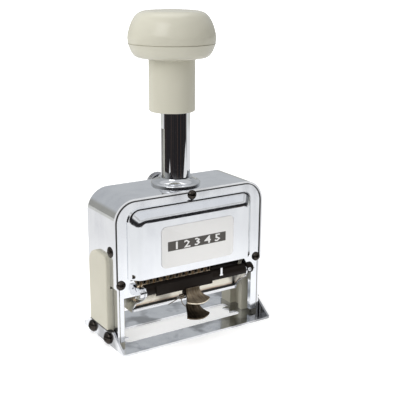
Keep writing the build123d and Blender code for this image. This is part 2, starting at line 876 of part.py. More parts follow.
def number_wheel(index):
    """One wheel: a rim with ten lands for the figures, and a ratchet on its right."""
    left = wheel_left + index * wheel_pitch
    teeth = []
    for tooth in range(figures):
        teeth.append(on_axle(ratchet_r, tooth * tooth_angle))
        teeth.append(on_axle(ratchet_r - tooth_depth, tooth * tooth_angle + tooth_lead))
    with BuildPart() as wheel:
        with BuildSketch(side_plane(left)):
            with Locations((axle_y, axle_z)):
                Circle(wheel_r)
                with PolarLocations(wheel_r, figures, start_angle=tooth_angle / 2):
                    Rectangle(2 * figure_depth, figure_gap, mode=Mode.SUBTRACT)
        extrude(amount=rim_width)
        with BuildSketch(side_plane(left + rim_width)):
            with BuildLine():
                Polyline(*teeth, close=True)
            make_face()
        extrude(amount=ratchet_width)
        with Locations(Location((left, axle_y, axle_z), (0, 90, 0))):
            Cylinder(axle_r + running, 20, mode=Mode.SUBTRACT)
    return wheel


for index in range(wheel_count):
    write(number_wheel(index), f"number_wheel_{index + 1:02d}")

# ---------------------------------------------------------------- detent comb and pawls
with BuildPart() as detent_comb:
    with BuildSketch(side_plane(wheel_left)):
        with BuildLine():
            Polyline(
                (comb_y, axle_z), (comb_y, beam_bottom - comb_thick),
                (slot_middle, beam_bottom - comb_thick), (slot_middle, beam_bottom),
                (comb_y + comb_thick, beam_bottom), (comb_y + comb_thick, axle_z), close=True,
            )
        make_face()
    extrude(amount=wheel_end - wheel_left - 0.5)
    for index in range(wheel_count - 1):
        with Locations((wheel_left + (index + 1) * wheel_pitch - 0.55, comb_y, axle_z - 1)):
            Box(comb_slit, 3, 11, align=(Align.CENTER, Align.CENTER, Align.MIN), mode=Mode.SUBTRACT)
write(detent_comb, "detent_comb")

pawl_bar_at = on_axle(pawl_bar_radius, pawl_angle)
with BuildPart() as pawl_frame:
    for left in (-cheek_inner + 0.15, cheek_inner - 0.2 - pawl_arm_thick):
        with BuildSketch(side_plane(left)):
            with Locations((axle_y, axle_z)):
                Circle(clip_r)
            with Locations(pawl_bar_at):
                Circle(pawl_bar_r + 1)
            make_hull()
            with Locations((axle_y, axle_z)):
                Circle(axle_r + running, mode=Mode.SUBTRACT)
            with Locations(pawl_bar_at):
                Circle(pawl_bar_r, mode=Mode.SUBTRACT)
        extrude(amount=pawl_arm_thick)
write(pawl_frame, "pawl_frame")

with BuildPart() as pawl_comb:
    with BuildSketch(side_plane(-cheek_inner + 0.15)):
        with Locations(pawl_bar_at):
            Circle(pawl_bar_r)
    extrude(amount=2 * cheek_inner - 0.35)
    for index in range(wheel_count):
        with BuildSketch(side_plane(wheel_left + index * wheel_pitch + rim_width + 0.15)):
            with BuildLine():
                Polyline(
                    on_axle(ratchet_r + pawl_reach, pawl_angle - 4),
                    on_axle(ratchet_r + pawl_reach, pawl_angle),
                    on_axle(pawl_bar_radius, pawl_angle + 5),
                    on_axle(pawl_bar_radius, pawl_angle - 5), close=True,
                )
            make_face()
        extrude(amount=pawl_width)
write(pawl_comb, "pawl_comb")


# ---------------------------------------------------------------- ink pad: rod and bar
def round_bar(left, right, outer, bore, middle=rod_z):
    """Round bar or sleeve on the pad rod between two places along X."""
    with BuildPart() as bar:
        with BuildSketch(side_plane(left)):
            with Locations((rod_y, middle)):
                Circle(outer)
            if bore > 0:
                with Locations((rod_y, rod_z)):
                    Circle(bore, mode=Mode.SUBTRACT)
        extrude(amount=right - left)
    return bar.part


with BuildPart() as pad_rod:
    add(round_bar(rod_left, rod_right, rod_r, 0))
write(pad_rod, "pad_rod")

with BuildPart() as rod_ring:
    add(round_bar(rod_left, -arm_outer - 0.2, ring_r, rod_r))
    fillet(rod_ring.edges().filter_by(GeomType.CIRCLE).sort_by(SortBy.RADIUS)[-2:], radius=0.4)
    # Web that holds the ring to the cover's ear
    with Locations((rod_left, frame_front, rod_z)):
        Box(1.7, 1.6, web_height, align=(Align.MIN, Align.MAX, Align.CENTER))
    with Locations((rod_left, rod_y, rod_z)):
        Box(1.2, 2 * ring_r + 1, ring_slot, rotation=(35, 0, 0), mode=Mode.SUBTRACT)
    with Locations(Location((rod_left, rod_y, rod_z), (0, 90, 0))):
        Cylinder(rod_r, 10, mode=Mode.SUBTRACT)
write(rod_ring, "rod_ring")

with BuildPart() as rod_block:
    # Round end block in line with the bar, with a web back to the cover's ear
    add(round_bar(arm_outer + 0.2, block_right, bar_r, 0, bar_middle))
    with Locations((arm_outer + 0.2, frame_front, rod_z)):
        Box(
            block_right - arm_outer - 0.2, frame_front - rod_y, web_height,
            align=(Align.MIN, Align.MAX, Align.CENTER),
        )
    with Locations(Location((arm_outer, rod_y, rod_z), (0, 90, 0))):
        Cylinder(rod_r, 20, mode=Mode.SUBTRACT)
    with Locations(Plane(origin=(rod_screw_x, bar_front, bar_middle), z_dir=(0, -1, 0))):
        Hole(0.5, 1.5)
write(rod_block, "rod_block")

with BuildPart() as rod_screw:
    place = facing((rod_screw_x, bar_front, bar_middle), (0, -1, 0))
    add(place * round_screw(1.2, 1.0, 0.5, 1.5))
write(rod_screw, "rod_screw")

with BuildPart() as pad_bar:
    add(round_bar(bar_left, arm_outer - arm_thick, bar_r, rod_r + running, bar_middle))
write(pad_bar, "pad_bar")

with BuildPart() as bar_boss:
    add(round_bar(-arm_outer + left_arm_thick, bar_left, ring_r, rod_r + running))
    fillet(bar_boss.edges().filter_by(GeomType.CIRCLE).sort_by(SortBy.RADIUS)[-2:], radius=0.3)
write(bar_boss, "bar_boss")

with BuildPart() as tab_plate:
    with Locations((plate_centre_x, bar_front, plate_bottom)):
        Box(
            plate_width, plate_thick, plate_top - plate_bottom,
            align=(Align.CENTER, Align.MAX, Align.MIN),
        )
    # Lugs for the finger tab's pin
    for side in (-1, 1):
        lug_x = tab_x + side * (tab_neck / 2 + 0.2 + lug_thick / 2)
        with Locations((lug_x, plate_face, lug_bottom)):
            Box(
                lug_thick, lug_depth, plate_bottom + plate_thick - lug_bottom,
                align=(Align.CENTER, Align.MIN, Align.MIN),
            )
    with Locations(Location((tab_x, tab_pin_y, tab_pin_z), (0, 90, 0))):
        Cylinder(tab_pin_r, 30, mode=Mode.SUBTRACT)
write(tab_plate, "tab_plate")

with BuildPart() as bar_clip:
    with Locations((clip_x, bar_front + 0.3, clip_foot)):
        Box(clip_width, clip_thick, clip_height, align=(Align.CENTER, Align.MAX, Align.MIN))
        Box(clip_foot_width, clip_thick, clip_foot_height, align=(Align.CENTER, Align.MAX, Align.MIN))
    add(round_bar(clip_x - 2, clip_x + 2, bar_r, 0, bar_middle), mode=Mode.SUBTRACT)
write(bar_clip, "bar_clip")

# ---------------------------------------------------------------- pad tray and felt
def tray_end(left, right, bottom, top):
    """Slice of the tray's end wall, which reaches forward and up to the rod."""
    with BuildPart() as wall:
        with BuildSketch(side_plane(left)):
            with BuildLine():
                Polyline(
                    (tray_front - 0.2, tray_floor), (tray_front - 0.8, tray_floor + 2.4),
                    (-12.2, 24.0), (rod_y - 2.6, 29.4), (rod_y + 2.8, rod_z + 1.8),
                    (tray_front + 0.4, pad_top - 0.2), (tray_rear, tray_floor + tray_back),
                    (tray_rear, tray_floor), close=True,
                )
            make_face()
            with Locations((rod_y, rod_z)):
                Circle(bar_r)
                Circle(rod_r + running, mode=Mode.SUBTRACT)
        extrude(amount=right - left)
        with Locations((left, tray_middle, bottom)):
            Box(
                right - left, 60, top - bottom,
                align=(Align.MIN, Align.CENTER, Align.MIN), mode=Mode.INTERSECT,
            )
    return wall.part


with BuildPart() as pad_tray:
    with BuildSketch(side_plane(tray_left)):
        with BuildLine():
            Polyline(
                (tray_front, tray_floor), (tray_rear, tray_floor),
                (tray_rear, tray_floor + tray_back), (tray_rear - tray_sheet, tray_floor + tray_back),
                (tray_rear - tray_sheet, tray_floor + tray_sheet),
                (tray_front + tray_sheet, tray_floor + tray_sheet),
                (tray_front + tray_sheet, tray_floor + tray_lip), (tray_front, tray_floor + tray_lip),
                close=True,
            )
        make_face()
    extrude(amount=arm_outer - tray_left)
    add(tray_end(arm_outer - arm_thick, arm_outer, tray_floor, rod_z + bar_r))
    # The left end wall steps inwards to its arm
    add(tray_end(tray_left, tray_left + arm_thick, tray_floor, joggle[1]))
    add(tray_end(tray_left, -arm_outer + left_arm_thick, *joggle))
    add(tray_end(-arm_outer, -arm_outer + left_arm_thick, joggle[0], rod_z + bar_r))
    rear_corner = pad_tray.edges().filter_by(Axis.X).sort_by(Axis.Y)[-2:].sort_by(Axis.Z)[0]
    fillet(rear_corner, radius=0.8)
write(pad_tray, "pad_tray")

with BuildPart() as pad_carrier:
    with Locations((tray_left + arm_thick, tray_middle, tray_floor + tray_sheet)):
        Box(
            arm_outer - 2 * arm_thick - tray_left, tray_rear - tray_front - 2 * tray_sheet - 0.1,
            pad_bottom - tray_floor - tray_sheet,
            align=(Align.MIN, Align.CENTER, Align.MIN),
        )
write(pad_carrier, "pad_carrier")

with BuildPart() as ink_pad:
    pad_left = tray_left + arm_thick + pad_gap
    with Locations((pad_left, tray_middle, pad_bottom)):
        Box(
            pad_right - pad_left, tray_rear - tray_front - 2 * (tray_sheet + pad_gap) - 0.1,
            pad_top - pad_bottom, align=(Align.MIN, Align.CENTER, Align.MIN),
        )
    fillet(ink_pad.edges().group_by(Axis.Z)[-1], radius=0.5)
write(ink_pad, "ink_pad")


# ---------------------------------------------------------------- finger tabs
def finger_leaf(drop):
    """Fan-shaped leaf that hangs from its root and bends forward, lowered by drop."""
    bend_y, bend_z = tab_bend
    with BuildPart() as leaf:
        with BuildSketch(side_plane(tab_x - tab_tip / 2)):
            with BuildLine():
                front = [(plate_face - tab_thick, tab_root_z - drop), (tab_knee[0], tab_knee[1] - drop)]
                back = [(plate_face, tab_root_z - drop), (tab_knee_back[0], tab_knee_back[1] - drop)]
                ThreePointArc(*front, (bend_y, bend_z - drop))
                Polyline(
                    (bend_y, bend_z - drop), (tab_front, tab_tip_z - drop),
                    (tab_front, tab_tip_z - tab_thick - drop), (bend_y, bend_z - tab_thick - drop),
                )
                ThreePointArc(*back, (bend_y, bend_z - tab_thick - drop))
                Line(front[0], back[0])
            make_face()
        extrude(amount=tab_tip)
        with BuildSketch(Plane.XY.offset(5)) as plan:
            with BuildLine():
                for side in (-1, 1):
                    RadiusArc(
                        (tab_x + side * tab_root / 2, plate_face),
                        (tab_x + side * tab_tip / 2, tab_shoulder_y), -side * tab_side_arc,
                    )
                ThreePointArc(
                    (tab_x + tab_tip / 2, tab_shoulder_y), (tab_x, tab_front),
                    (tab_x - tab_tip / 2, tab_shoulder_y),
                )
                Line((tab_x - tab_root / 2, plate_face), (tab_x + tab_root / 2, plate_face))
            make_face()
            fillet(plan.vertices().group_by(Axis.Y)[0], radius=tab_corner)
        extrude(amount=40, mode=Mode.INTERSECT)
    return leaf.part


with BuildPart() as tab_upper:
    add(finger_leaf(0))
write(tab_upper, "tab_upper")

with BuildPart() as tab_lower:
    add(finger_leaf(tab_drop))
    # Neck up to the hinge pin, and the barrel round the pin
    with Locations((tab_x, plate_face, tab_pin_z)):
        Box(
            tab_neck, tab_thick, tab_pin_z - tab_root_z + tab_drop + 0.1,
            align=(Align.CENTER, Align.MAX, Align.MAX),
        )
    with Locations(Location((tab_x, tab_pin_y, tab_pin_z), (0, 90, 0))):
        Cylinder(tab_barrel_r, tab_neck)
        Cylinder(tab_pin_r + running, 10, mode=Mode.SUBTRACT)
write(tab_lower, "tab_lower")

with BuildPart() as tab_pin:
    with Locations(Location((tab_x - 2, tab_pin_y, tab_pin_z), (0, 90, 0))):
        Cylinder(tab_pin_r, tab_pin_length)
write(tab_pin, "tab_pin")

with BuildPart() as tab_spring:
    add(coil(
        tab_spring_r, tab_spring_wire, tab_spring_pitch, tab_spring_length,
        (tab_spring_x, tab_pin_y, tab_pin_z), (1, 0, 0),
    ))
write(tab_spring, "tab_spring")

# ---------------------------------------------------------------- stop button and dial
with BuildPart() as stop_button:
    # Domed head, its hub and the stem that passes through the bush
    for near, length, radius in (
        (button_head_y, button_head, button_r),
        (button_head_y - 0.6, 0.6, 2 * button_stem_r),
        (button_stem_y, button_head_y - 0.6 - button_stem_y, button_stem_r),
    ):
        with BuildSketch(front_plane(near)):
            with Locations((0, button_z)):
                Circle(radius)
        extrude(amount=-length)
    fillet(stop_button.faces().sort_by(Axis.Y)[-1].edges(), radius=1.6)
write(stop_button, "stop_button")

with BuildPart() as stop_bush:
    with BuildSketch(front_plane(frame_rear - cover_thick)):
        with Locations((0, button_z)):
            Circle(bush_r)
            Circle(button_stem_r + running, mode=Mode.SUBTRACT)
    extrude(amount=-cover_thick)
    with BuildSketch(front_plane(frame_rear)):
        with Locations((0, button_z)):
            RegularPolygon(4.6, 6)
            Circle(button_stem_r + running, mode=Mode.SUBTRACT)
    extrude(amount=-bush_flange)
write(stop_bush, "stop_bush")

with BuildPart() as repeat_dial:
    with BuildSketch(front_plane(rear_face + 0.2)):
        with Locations((dial_x, dial_z)):
            Circle(dial_r)
            with PolarLocations(dial_r + 0.3, dial_notches):
                Circle(0.8, mode=Mode.SUBTRACT)
    extrude(amount=-dial_thick)
    with BuildSketch(front_plane(rear_face + 0.2 + dial_thick)):
        with Locations((dial_x, dial_z)):
            Circle(dial_hub_r)
    extrude(amount=-dial_hub)
    chamfer(repeat_dial.faces().sort_by(Axis.Y)[-1].edges(), length=0.6)
    with BuildSketch(front_plane(frame_rear - 1)):
        with Locations((dial_x, dial_z)):
            Circle(dial_stem_r)
    extrude(amount=-(rear_panel_height + 1.2))
write(repeat_dial, "repeat_dial")
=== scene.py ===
import json
import math

import bmesh
import bpy
from mathutils import Matrix, Vector, noise

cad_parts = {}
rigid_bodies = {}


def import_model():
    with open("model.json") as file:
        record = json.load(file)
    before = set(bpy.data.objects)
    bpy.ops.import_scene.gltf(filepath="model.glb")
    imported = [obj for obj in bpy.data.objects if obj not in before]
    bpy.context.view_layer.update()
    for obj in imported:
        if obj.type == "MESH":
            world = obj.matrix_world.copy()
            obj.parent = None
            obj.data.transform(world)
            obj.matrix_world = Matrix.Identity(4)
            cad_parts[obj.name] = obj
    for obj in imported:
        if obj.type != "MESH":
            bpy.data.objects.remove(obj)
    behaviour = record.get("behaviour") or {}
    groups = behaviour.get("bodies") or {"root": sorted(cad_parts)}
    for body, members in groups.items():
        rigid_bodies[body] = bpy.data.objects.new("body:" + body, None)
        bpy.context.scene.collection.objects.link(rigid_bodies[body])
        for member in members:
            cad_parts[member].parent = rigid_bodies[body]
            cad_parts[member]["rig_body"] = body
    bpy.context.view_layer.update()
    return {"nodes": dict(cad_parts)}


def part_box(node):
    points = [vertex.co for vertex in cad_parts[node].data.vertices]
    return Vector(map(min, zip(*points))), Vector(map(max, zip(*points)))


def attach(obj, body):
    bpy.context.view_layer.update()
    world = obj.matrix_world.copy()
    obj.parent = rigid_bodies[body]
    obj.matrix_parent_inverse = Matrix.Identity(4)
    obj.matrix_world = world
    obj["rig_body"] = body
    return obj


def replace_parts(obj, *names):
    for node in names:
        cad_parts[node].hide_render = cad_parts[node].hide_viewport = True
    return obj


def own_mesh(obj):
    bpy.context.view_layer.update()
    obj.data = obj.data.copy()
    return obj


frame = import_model()
nodes = frame["nodes"]
MM = 0.001
WHEELS = ["number_wheel_%02d" % n for n in range(1, 13)]

# Places and sizes that the finishes share with the pieces, in metres
FIRST_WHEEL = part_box(WHEELS[0])
WHEEL_LEFT = FIRST_WHEEL[0][0]
WHEEL_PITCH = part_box(WHEELS[1])[0][0] - WHEEL_LEFT
AXLE_Y = (FIRST_WHEEL[0][1] + FIRST_WHEEL[1][1]) / 2
AXLE_Z = (FIRST_WHEEL[0][2] + FIRST_WHEEL[1][2]) / 2
WHEEL_R = 10.3 * MM
RIM_WIDTH = 3.0 * MM
LANDS = 10
LAND_STEP = 2 * math.pi / LANDS
LAND_ARC = 4.4 * MM
FELT_LOW, FELT_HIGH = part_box("ink_pad")

# Wear, relief and painted dark reflection of the finishes, in metres
RIM_WORN = (0.85 * MM, 0.5 * MM)       # where a land's worn border starts and is full,
ARC_WORN = (0.95 * MM, 0.55 * MM)      # measured in from its sides and from its ends
DARK_REFLECTION_X = (34.0 * MM, 48.0 * MM)      # clouds of tarnish, darkened further towards the right end as painted dark reflection, between these
DARK_REFLECTION_GATHER = 0.22
CLOUD_FROM = (0.52, 0.62)              # a cloud starts and is full at these values of its noise
CLOUD_SHADE = 0.42                     # share of the plating's brightness left in a cloud
FELT_DARK_BAND = 1.7 * MM                 # height of the darker brown band on the felt's sides
SCRATCH_DEPTH = 0.000004
PLATED_RIPPLE = 0.00003
MOULDED_GRAIN = 0.000012
FINE_GRAIN = 0.000004
FELT_TUFT = 0.0004
FELT_FIBRE = 0.00012

# The Mix node's sockets for colours
MIX_SHARE, MIX_FIRST, MIX_SECOND, MIX_RESULT = 0, 6, 7, 2

WHITE = (1, 1, 1)
BLACK = (0, 0, 0)


# ---------------------------------------------------------------- shader groups
def new_group(name, inputs, outputs):
    """An empty shader group with named sockets: its tree, its input node and its output node."""
    tree = bpy.data.node_groups.new(name, "ShaderNodeTree")
    for label, kind, value in inputs:
        socket = tree.interface.new_socket(label, in_out="INPUT", socket_type="NodeSocket" + kind)
        if value is not None:
            socket.default_value = value
    for label, kind in outputs:
        tree.interface.new_socket(label, in_out="OUTPUT", socket_type="NodeSocket" + kind)
    return tree, tree.nodes.new("NodeGroupInput"), tree.nodes.new("NodeGroupOutput")


def add_node(tree, kind, links=(), **values):
    """A node with some of its sockets linked, and others set to a value."""
    node = tree.nodes.new("ShaderNode" + kind)
    for key, value in values.items():
        if hasattr(node, key):
            setattr(node, key, value)
        else:
            node.inputs[key.replace("_", " ")].default_value = value
    for socket, source in links:
        tree.links.new(source, node.inputs[socket])
    return node


def maths(tree, operation, first, second=None, clamp=False):
    """A Math node; each operand is a socket or a number."""
    node = tree.nodes.new("ShaderNodeMath")
    node.operation = operation
    node.use_clamp = clamp
    for place, value in enumerate((first, second)):
        if value is None:
            continue
        if isinstance(value, (int, float)):
            node.inputs[place].default_value = value
        else:
            tree.links.new(value, node.inputs[place])
    return node.outputs[0]


def ranged(tree, value, low, high, to_low, to_high):
    """value carried from one range to another, and held inside it."""
    node = tree.nodes.new("ShaderNodeMapRange")
    tree.links.new(value, node.inputs["Value"])
    limits = {"From Min": low, "From Max": high, "To Min": to_low, "To Max": to_high}
    for label, number in limits.items():
        node.inputs[label].default_value = number
    return node.outputs[0]


def rising(tree, value, low, high):
    """A mask that goes from 0 where value is low to 1 where it is high."""
    return ranged(tree, value, low, high, 0.0, 1.0)


def graded(tree, mask, at_none, at_full):
    """A number that goes from one value to another as a mask goes from 0 to 1."""
    return ranged(tree, mask, 0.0, 1.0, at_none, at_full)


def mixed(tree, share, first, second):
    """A colour mixed from two; each is a socket, or its red, green and blue."""
    node = tree.nodes.new("ShaderNodeMix")
    node.data_type = "RGBA"
    tree.links.new(share, node.inputs[MIX_SHARE])
    for place, value in ((MIX_FIRST, first), (MIX_SECOND, second)):
        if isinstance(value, tuple):
            node.inputs[place].default_value = (*value, 1.0)
        else:
            tree.links.new(value, node.inputs[place])
    return node.outputs[MIX_RESULT]


def hand_smudges():
    """Soft cloudy patches where hands have touched and wiped the plating."""
    tree, given, result = new_group(
        "hand_smudges", [("Vector", "Vector", None), ("Size", "Float", 60.0)], [("Mask", "Float")],
    )
    place = given.outputs["Vector"]
    cloud = add_node(
        tree, "TexNoise", [("Vector", place), ("Scale", given.outputs["Size"])],
        Detail=4.0, Roughness=0.6,
    )
    streak = add_node(tree, "Mapping", [("Vector", place)], Scale=(1.0, 1.0, 0.25))
    wipe = add_node(tree, "TexNoise", [("Vector", streak.outputs[0])], Scale=140.0, Detail=2.0)
    both = maths(tree, "MULTIPLY", cloud.outputs["Fac"], wipe.outputs["Fac"])
    tree.links.new(rising(tree, both, low=0.16, high=0.42), result.inputs["Mask"])
    return tree


def fine_scratches():
    """Hairline scratches that run in two directions."""
    tree, given, result = new_group(
        "fine_scratches", [("Vector", "Vector", None), ("Count", "Float", 900.0)],
        [("Height", "Float")],
    )
    heights = []
    for turn, squeeze in ((0.6, 0.03), (-0.35, 0.04)):
        lay = add_node(
            tree, "Mapping", [("Vector", given.outputs["Vector"])],
            Rotation=(turn, turn * 0.5, turn), Scale=(1.0, squeeze, squeeze * 2),
        )
        lines = add_node(
            tree, "TexNoise", [("Vector", lay.outputs[0]), ("Scale", given.outputs["Count"])],
            Detail=1.0,
        )
        heights.append(rising(tree, lines.outputs["Fac"], low=0.60, high=0.68))
    tree.links.new(maths(tree, "MAXIMUM", heights[0], heights[1]), result.inputs["Height"])
    return tree


def moulded_grain():
    """The faint ripple and colour drift of a moulded surface."""
    tree, given, result = new_group(
        "moulded_grain", [("Vector", "Vector", None), ("Grain", "Float", 2500.0)],
        [("Height", "Float"), ("Drift", "Float")],
    )
    place = given.outputs["Vector"]
    grain = add_node(
        tree, "TexNoise", [("Vector", place), ("Scale", given.outputs["Grain"])], Detail=2.0,
    )
    drift = add_node(tree, "TexNoise", [("Vector", place)], Scale=35.0, Detail=3.0)
    tree.links.new(grain.outputs["Fac"], result.inputs["Height"])
    tree.links.new(rising(tree, drift.outputs["Fac"], low=0.3, high=0.7), result.inputs["Drift"])
    return tree


def land_borders():
    """White along the borders of the wheels' lands, black in their middles and in the gaps."""
    tree, given, result = new_group(
        "land_borders", [("Vector", "Vector", None)], [("Mask", "Float")],
    )
    away = add_node(tree, "SeparateXYZ", [("Vector", given.outputs["Vector"])])
    along = maths(tree, "SUBTRACT", away.outputs["X"], WHEEL_LEFT)
    along = maths(tree, "FRACT", maths(tree, "DIVIDE", along, WHEEL_PITCH))
    along = maths(tree, "MULTIPLY", along, WHEEL_PITCH)
    from_middle = maths(tree, "ABSOLUTE", maths(tree, "SUBTRACT", along, RIM_WIDTH / 2))
    sides = rising(
        tree, from_middle, low=RIM_WIDTH / 2 - RIM_WORN[0], high=RIM_WIDTH / 2 - RIM_WORN[1],
    )
    height = maths(tree, "SUBTRACT", away.outputs["Z"], AXLE_Z)
    depth = maths(tree, "SUBTRACT", away.outputs["Y"], AXLE_Y)
    turn = maths(tree, "DIVIDE", maths(tree, "ARCTAN2", height, depth), LAND_STEP)
    turn = maths(tree, "FRACT", maths(tree, "ADD", turn, LANDS + 0.5))
    arc = maths(tree, "MULTIPLY", maths(tree, "SUBTRACT", turn, 0.5), LAND_STEP * WHEEL_R)
    ends = rising(
        tree, maths(tree, "ABSOLUTE", arc),
        low=LAND_ARC / 2 - ARC_WORN[0], high=LAND_ARC / 2 - ARC_WORN[1],
    )
    tree.links.new(maths(tree, "MAXIMUM", sides, ends), result.inputs["Mask"])
    return tree


SMUDGES = hand_smudges()
SCRATCHES = fine_scratches()
GRAIN = moulded_grain()
LAND_BORDERS = land_borders()


# ---------------------------------------------------------------- finishes
def use_group(tree, group, vector, **values):
    """A group placed in a material, reading a vector."""
    node = tree.nodes.new("ShaderNodeGroup")
    node.node_tree = group
    tree.links.new(vector, node.inputs["Vector"])
    for key, value in values.items():
        node.inputs[key].default_value = value
    return node


def new_finish(name):
    """A new material: its tree, its Principled shader and its Object coordinates."""
    material = bpy.data.materials.new(name)
    material.use_nodes = True
    tree = material.node_tree
    shader = tree.nodes["Principled BSDF"]
    place = tree.nodes.new("ShaderNodeTexCoord").outputs["Object"]
    return material, tree, shader, place


def set_look(tree, shader, color, roughness, metallic=0.0):
    """Feeds a colour and a roughness to the shader, and sets how metallic it is."""
    tree.links.new(color, shader.inputs["Base Color"])
    tree.links.new(roughness, shader.inputs["Roughness"])
    shader.inputs["Metallic"].default_value = metallic


def set_bumps(tree, shader, layers):
    """Feeds layers of (height, distance, strength) to the shader's Normal, the broadest first."""
    below = None
    for height, distance, strength in layers:
        bump = add_node(tree, "Bump", [("Height", height)], Distance=distance, Strength=strength)
        if below is not None:
            tree.links.new(below, bump.inputs["Normal"])
        below = bump.outputs[0]
    tree.links.new(below, shader.inputs["Normal"])


def broad_noise(tree, place, scale, detail=2.0):
    """The value of a soft noise whose patches are 1 / scale metres across."""
    noisy = add_node(tree, "TexNoise", [("Vector", place)], Scale=scale, Detail=detail)
    return noisy.outputs["Fac"]


def plated(name, bright, dull, rough_low, rough_high, ripple=PLATED_RIPPLE, patches=0.0):
    """Plated sheet: slow ripple, wiped smudges, hairline scratches, cloudy patches of tarnish and
    painted dark reflection.
    """
    material, tree, shader, place = new_finish(name)
    smudge = use_group(tree, SMUDGES, place, Size=55.0)
    scratched = use_group(tree, SCRATCHES, place, Count=800.0)
    tone = mixed(tree, smudge.outputs[0], bright, dull)
    if patches:
        # The clouds grow at the right end: painted dark reflection, over the random tarnish clouds
        along = add_node(tree, "SeparateXYZ", [("Vector", place)]).outputs["X"]
        reflection_at_right = ranged(tree, along, *DARK_REFLECTION_X, 0.0, DARK_REFLECTION_GATHER)
        cloudy = maths(tree, "ADD", broad_noise(tree, place, scale=48.0, detail=3.0), reflection_at_right)
        cloud = ranged(tree, cloudy, *CLOUD_FROM, 0.0, patches)
        tone = mixed(tree, cloud, tone, tuple(CLOUD_SHADE * part for part in bright))
    rough = graded(tree, smudge.outputs[0], rough_low, rough_high)
    set_look(tree, shader, tone, rough, metallic=1.0)
    set_bumps(tree, shader, [
        (broad_noise(tree, place, scale=60.0), ripple, 0.6),
        (scratched.outputs[0], SCRATCH_DEPTH, 0.35),
    ])
    return material


def moulded(name, light, shade, rough, grain=MOULDED_GRAIN, gloss=0.5):
    """Moulded plastic with a faint ripple and a slow drift of colour."""
    material, tree, shader, place = new_finish(name)
    skin = use_group(tree, GRAIN, place, Grain=1800.0)
    smudge = use_group(tree, SMUDGES, place, Size=40.0)
    tone = mixed(tree, skin.outputs["Drift"], light, shade)
    set_look(tree, shader, tone, graded(tree, smudge.outputs[0], rough, rough + 0.05))
    shader.inputs["Specular IOR Level"].default_value = gloss
    set_bumps(tree, shader, [(skin.outputs["Height"], grain, 0.4)])
    return material


def inked_wheels():
    """Wheel metal black with ink, rubbed back to brass along the borders of the lands."""
    material, tree, shader, place = new_finish("inked_wheels")
    border = use_group(tree, LAND_BORDERS, place)
    rub = rising(tree, broad_noise(tree, place, scale=420.0, detail=4.0), low=0.30, high=0.46)
    worn = maths(tree, "MULTIPLY", border.outputs[0], rub)
    tone = mixed(tree, worn, (0.020, 0.016, 0.012), (0.86, 0.72, 0.54))
    set_look(tree, shader, tone, graded(tree, worn, 0.5, 0.3), metallic=0.8)
    set_bumps(tree, shader, [(rub, 0.00003, 0.5)])
    return material


def rubbed_type():
    """Raised figures, rubbed bright with ink left in their corners."""
    material, tree, shader, place = new_finish("rubbed_type")
    ink = rising(tree, broad_noise(tree, place, scale=900.0, detail=3.0), low=0.42, high=0.6)
    tone = mixed(tree, ink, (0.50, 0.42, 0.31), (0.08, 0.065, 0.05))
    set_look(tree, shader, tone, graded(tree, ink, 0.3, 0.55), metallic=0.85)
    set_bumps(tree, shader, [(ink, 0.00001, 0.4)])
    return material


def rolled_bronze(name, light, dark):
    """Olive bronze of the finger tabs, with dark streaks from root to tip."""
    material, tree, shader, place = new_finish(name)
    streaks = add_node(tree, "Mapping", [("Vector", place)], Scale=(1.0, 0.12, 0.12))
    streak = broad_noise(tree, streaks.outputs[0], scale=900.0, detail=4.0)
    stain = broad_noise(tree, place, scale=160.0, detail=3.0)
    both = rising(tree, maths(tree, "ADD", streak, stain), low=0.85, high=1.15)
    tone = mixed(tree, both, light, dark)
    set_look(tree, shader, tone, graded(tree, both, 0.30, 0.44), metallic=0.9)
    set_bumps(tree, shader, [(streak, 0.00002, 0.5)])
    return material


def pressed_felt():
    """Cream felt: fibres, a little sheen, and darker brown low on its sides."""
    material, tree, shader, place = new_finish("pressed_felt")
    fibres = broad_noise(tree, place, scale=1600.0, detail=6.0)
    tufts = broad_noise(tree, place, scale=240.0, detail=4.0)
    height = add_node(tree, "SeparateXYZ", [("Vector", place)]).outputs["Z"]
    # Darker brown low on the felt's sides, uneven with the tufts
    low_band = ranged(tree, height, FELT_LOW[2], FELT_LOW[2] + FELT_DARK_BAND, 1.0, 0.0)
    uneven = ranged(tree, tufts, 0.3, 0.6, 0.6, 1.0)
    low_band = maths(tree, "MULTIPLY", low_band, uneven, clamp=True)
    cream = mixed(tree, fibres, (0.80, 0.75, 0.63), (0.96, 0.92, 0.82))
    tone = mixed(tree, low_band, cream, (0.30, 0.15, 0.06))
    set_look(tree, shader, tone, graded(tree, tufts, 0.86, 1.0))
    shader.inputs["Sheen Weight"].default_value = 0.35
    shader.inputs["Sheen Roughness"].default_value = 0.6
    set_bumps(tree, shader, [(tufts, FELT_TUFT, 0.4), (fibres, FELT_FIBRE, 0.6)])
    return material


# Plating: bright and dull colour, lowest and highest roughness, then ripple and patches
chrome = plated("bright_chrome", (0.80, 0.81, 0.83), (0.72, 0.73, 0.76), 0.05, 0.12)
shaft_chrome = plated(
    "shaft_chrome", (0.80, 0.81, 0.83), (0.74, 0.75, 0.78), 0.03, 0.07, ripple=0.00001,
)
cover_chrome = plated("cover_chrome", (0.82, 0.84, 0.87), (0.77, 0.79, 0.83), 0.10, 0.20)
base_chrome = plated(
    "base_chrome", (0.74, 0.75, 0.77), (0.62, 0.63, 0.66), 0.08, 0.20, ripple=0.00005, patches=0.9,
)
tray_chrome = plated("tray_chrome", (0.74, 0.75, 0.77), (0.64, 0.65, 0.67), 0.08, 0.18)
plain_steel = plated("plain_steel", (0.46, 0.45, 0.43), (0.34, 0.33, 0.31), 0.28, 0.45)
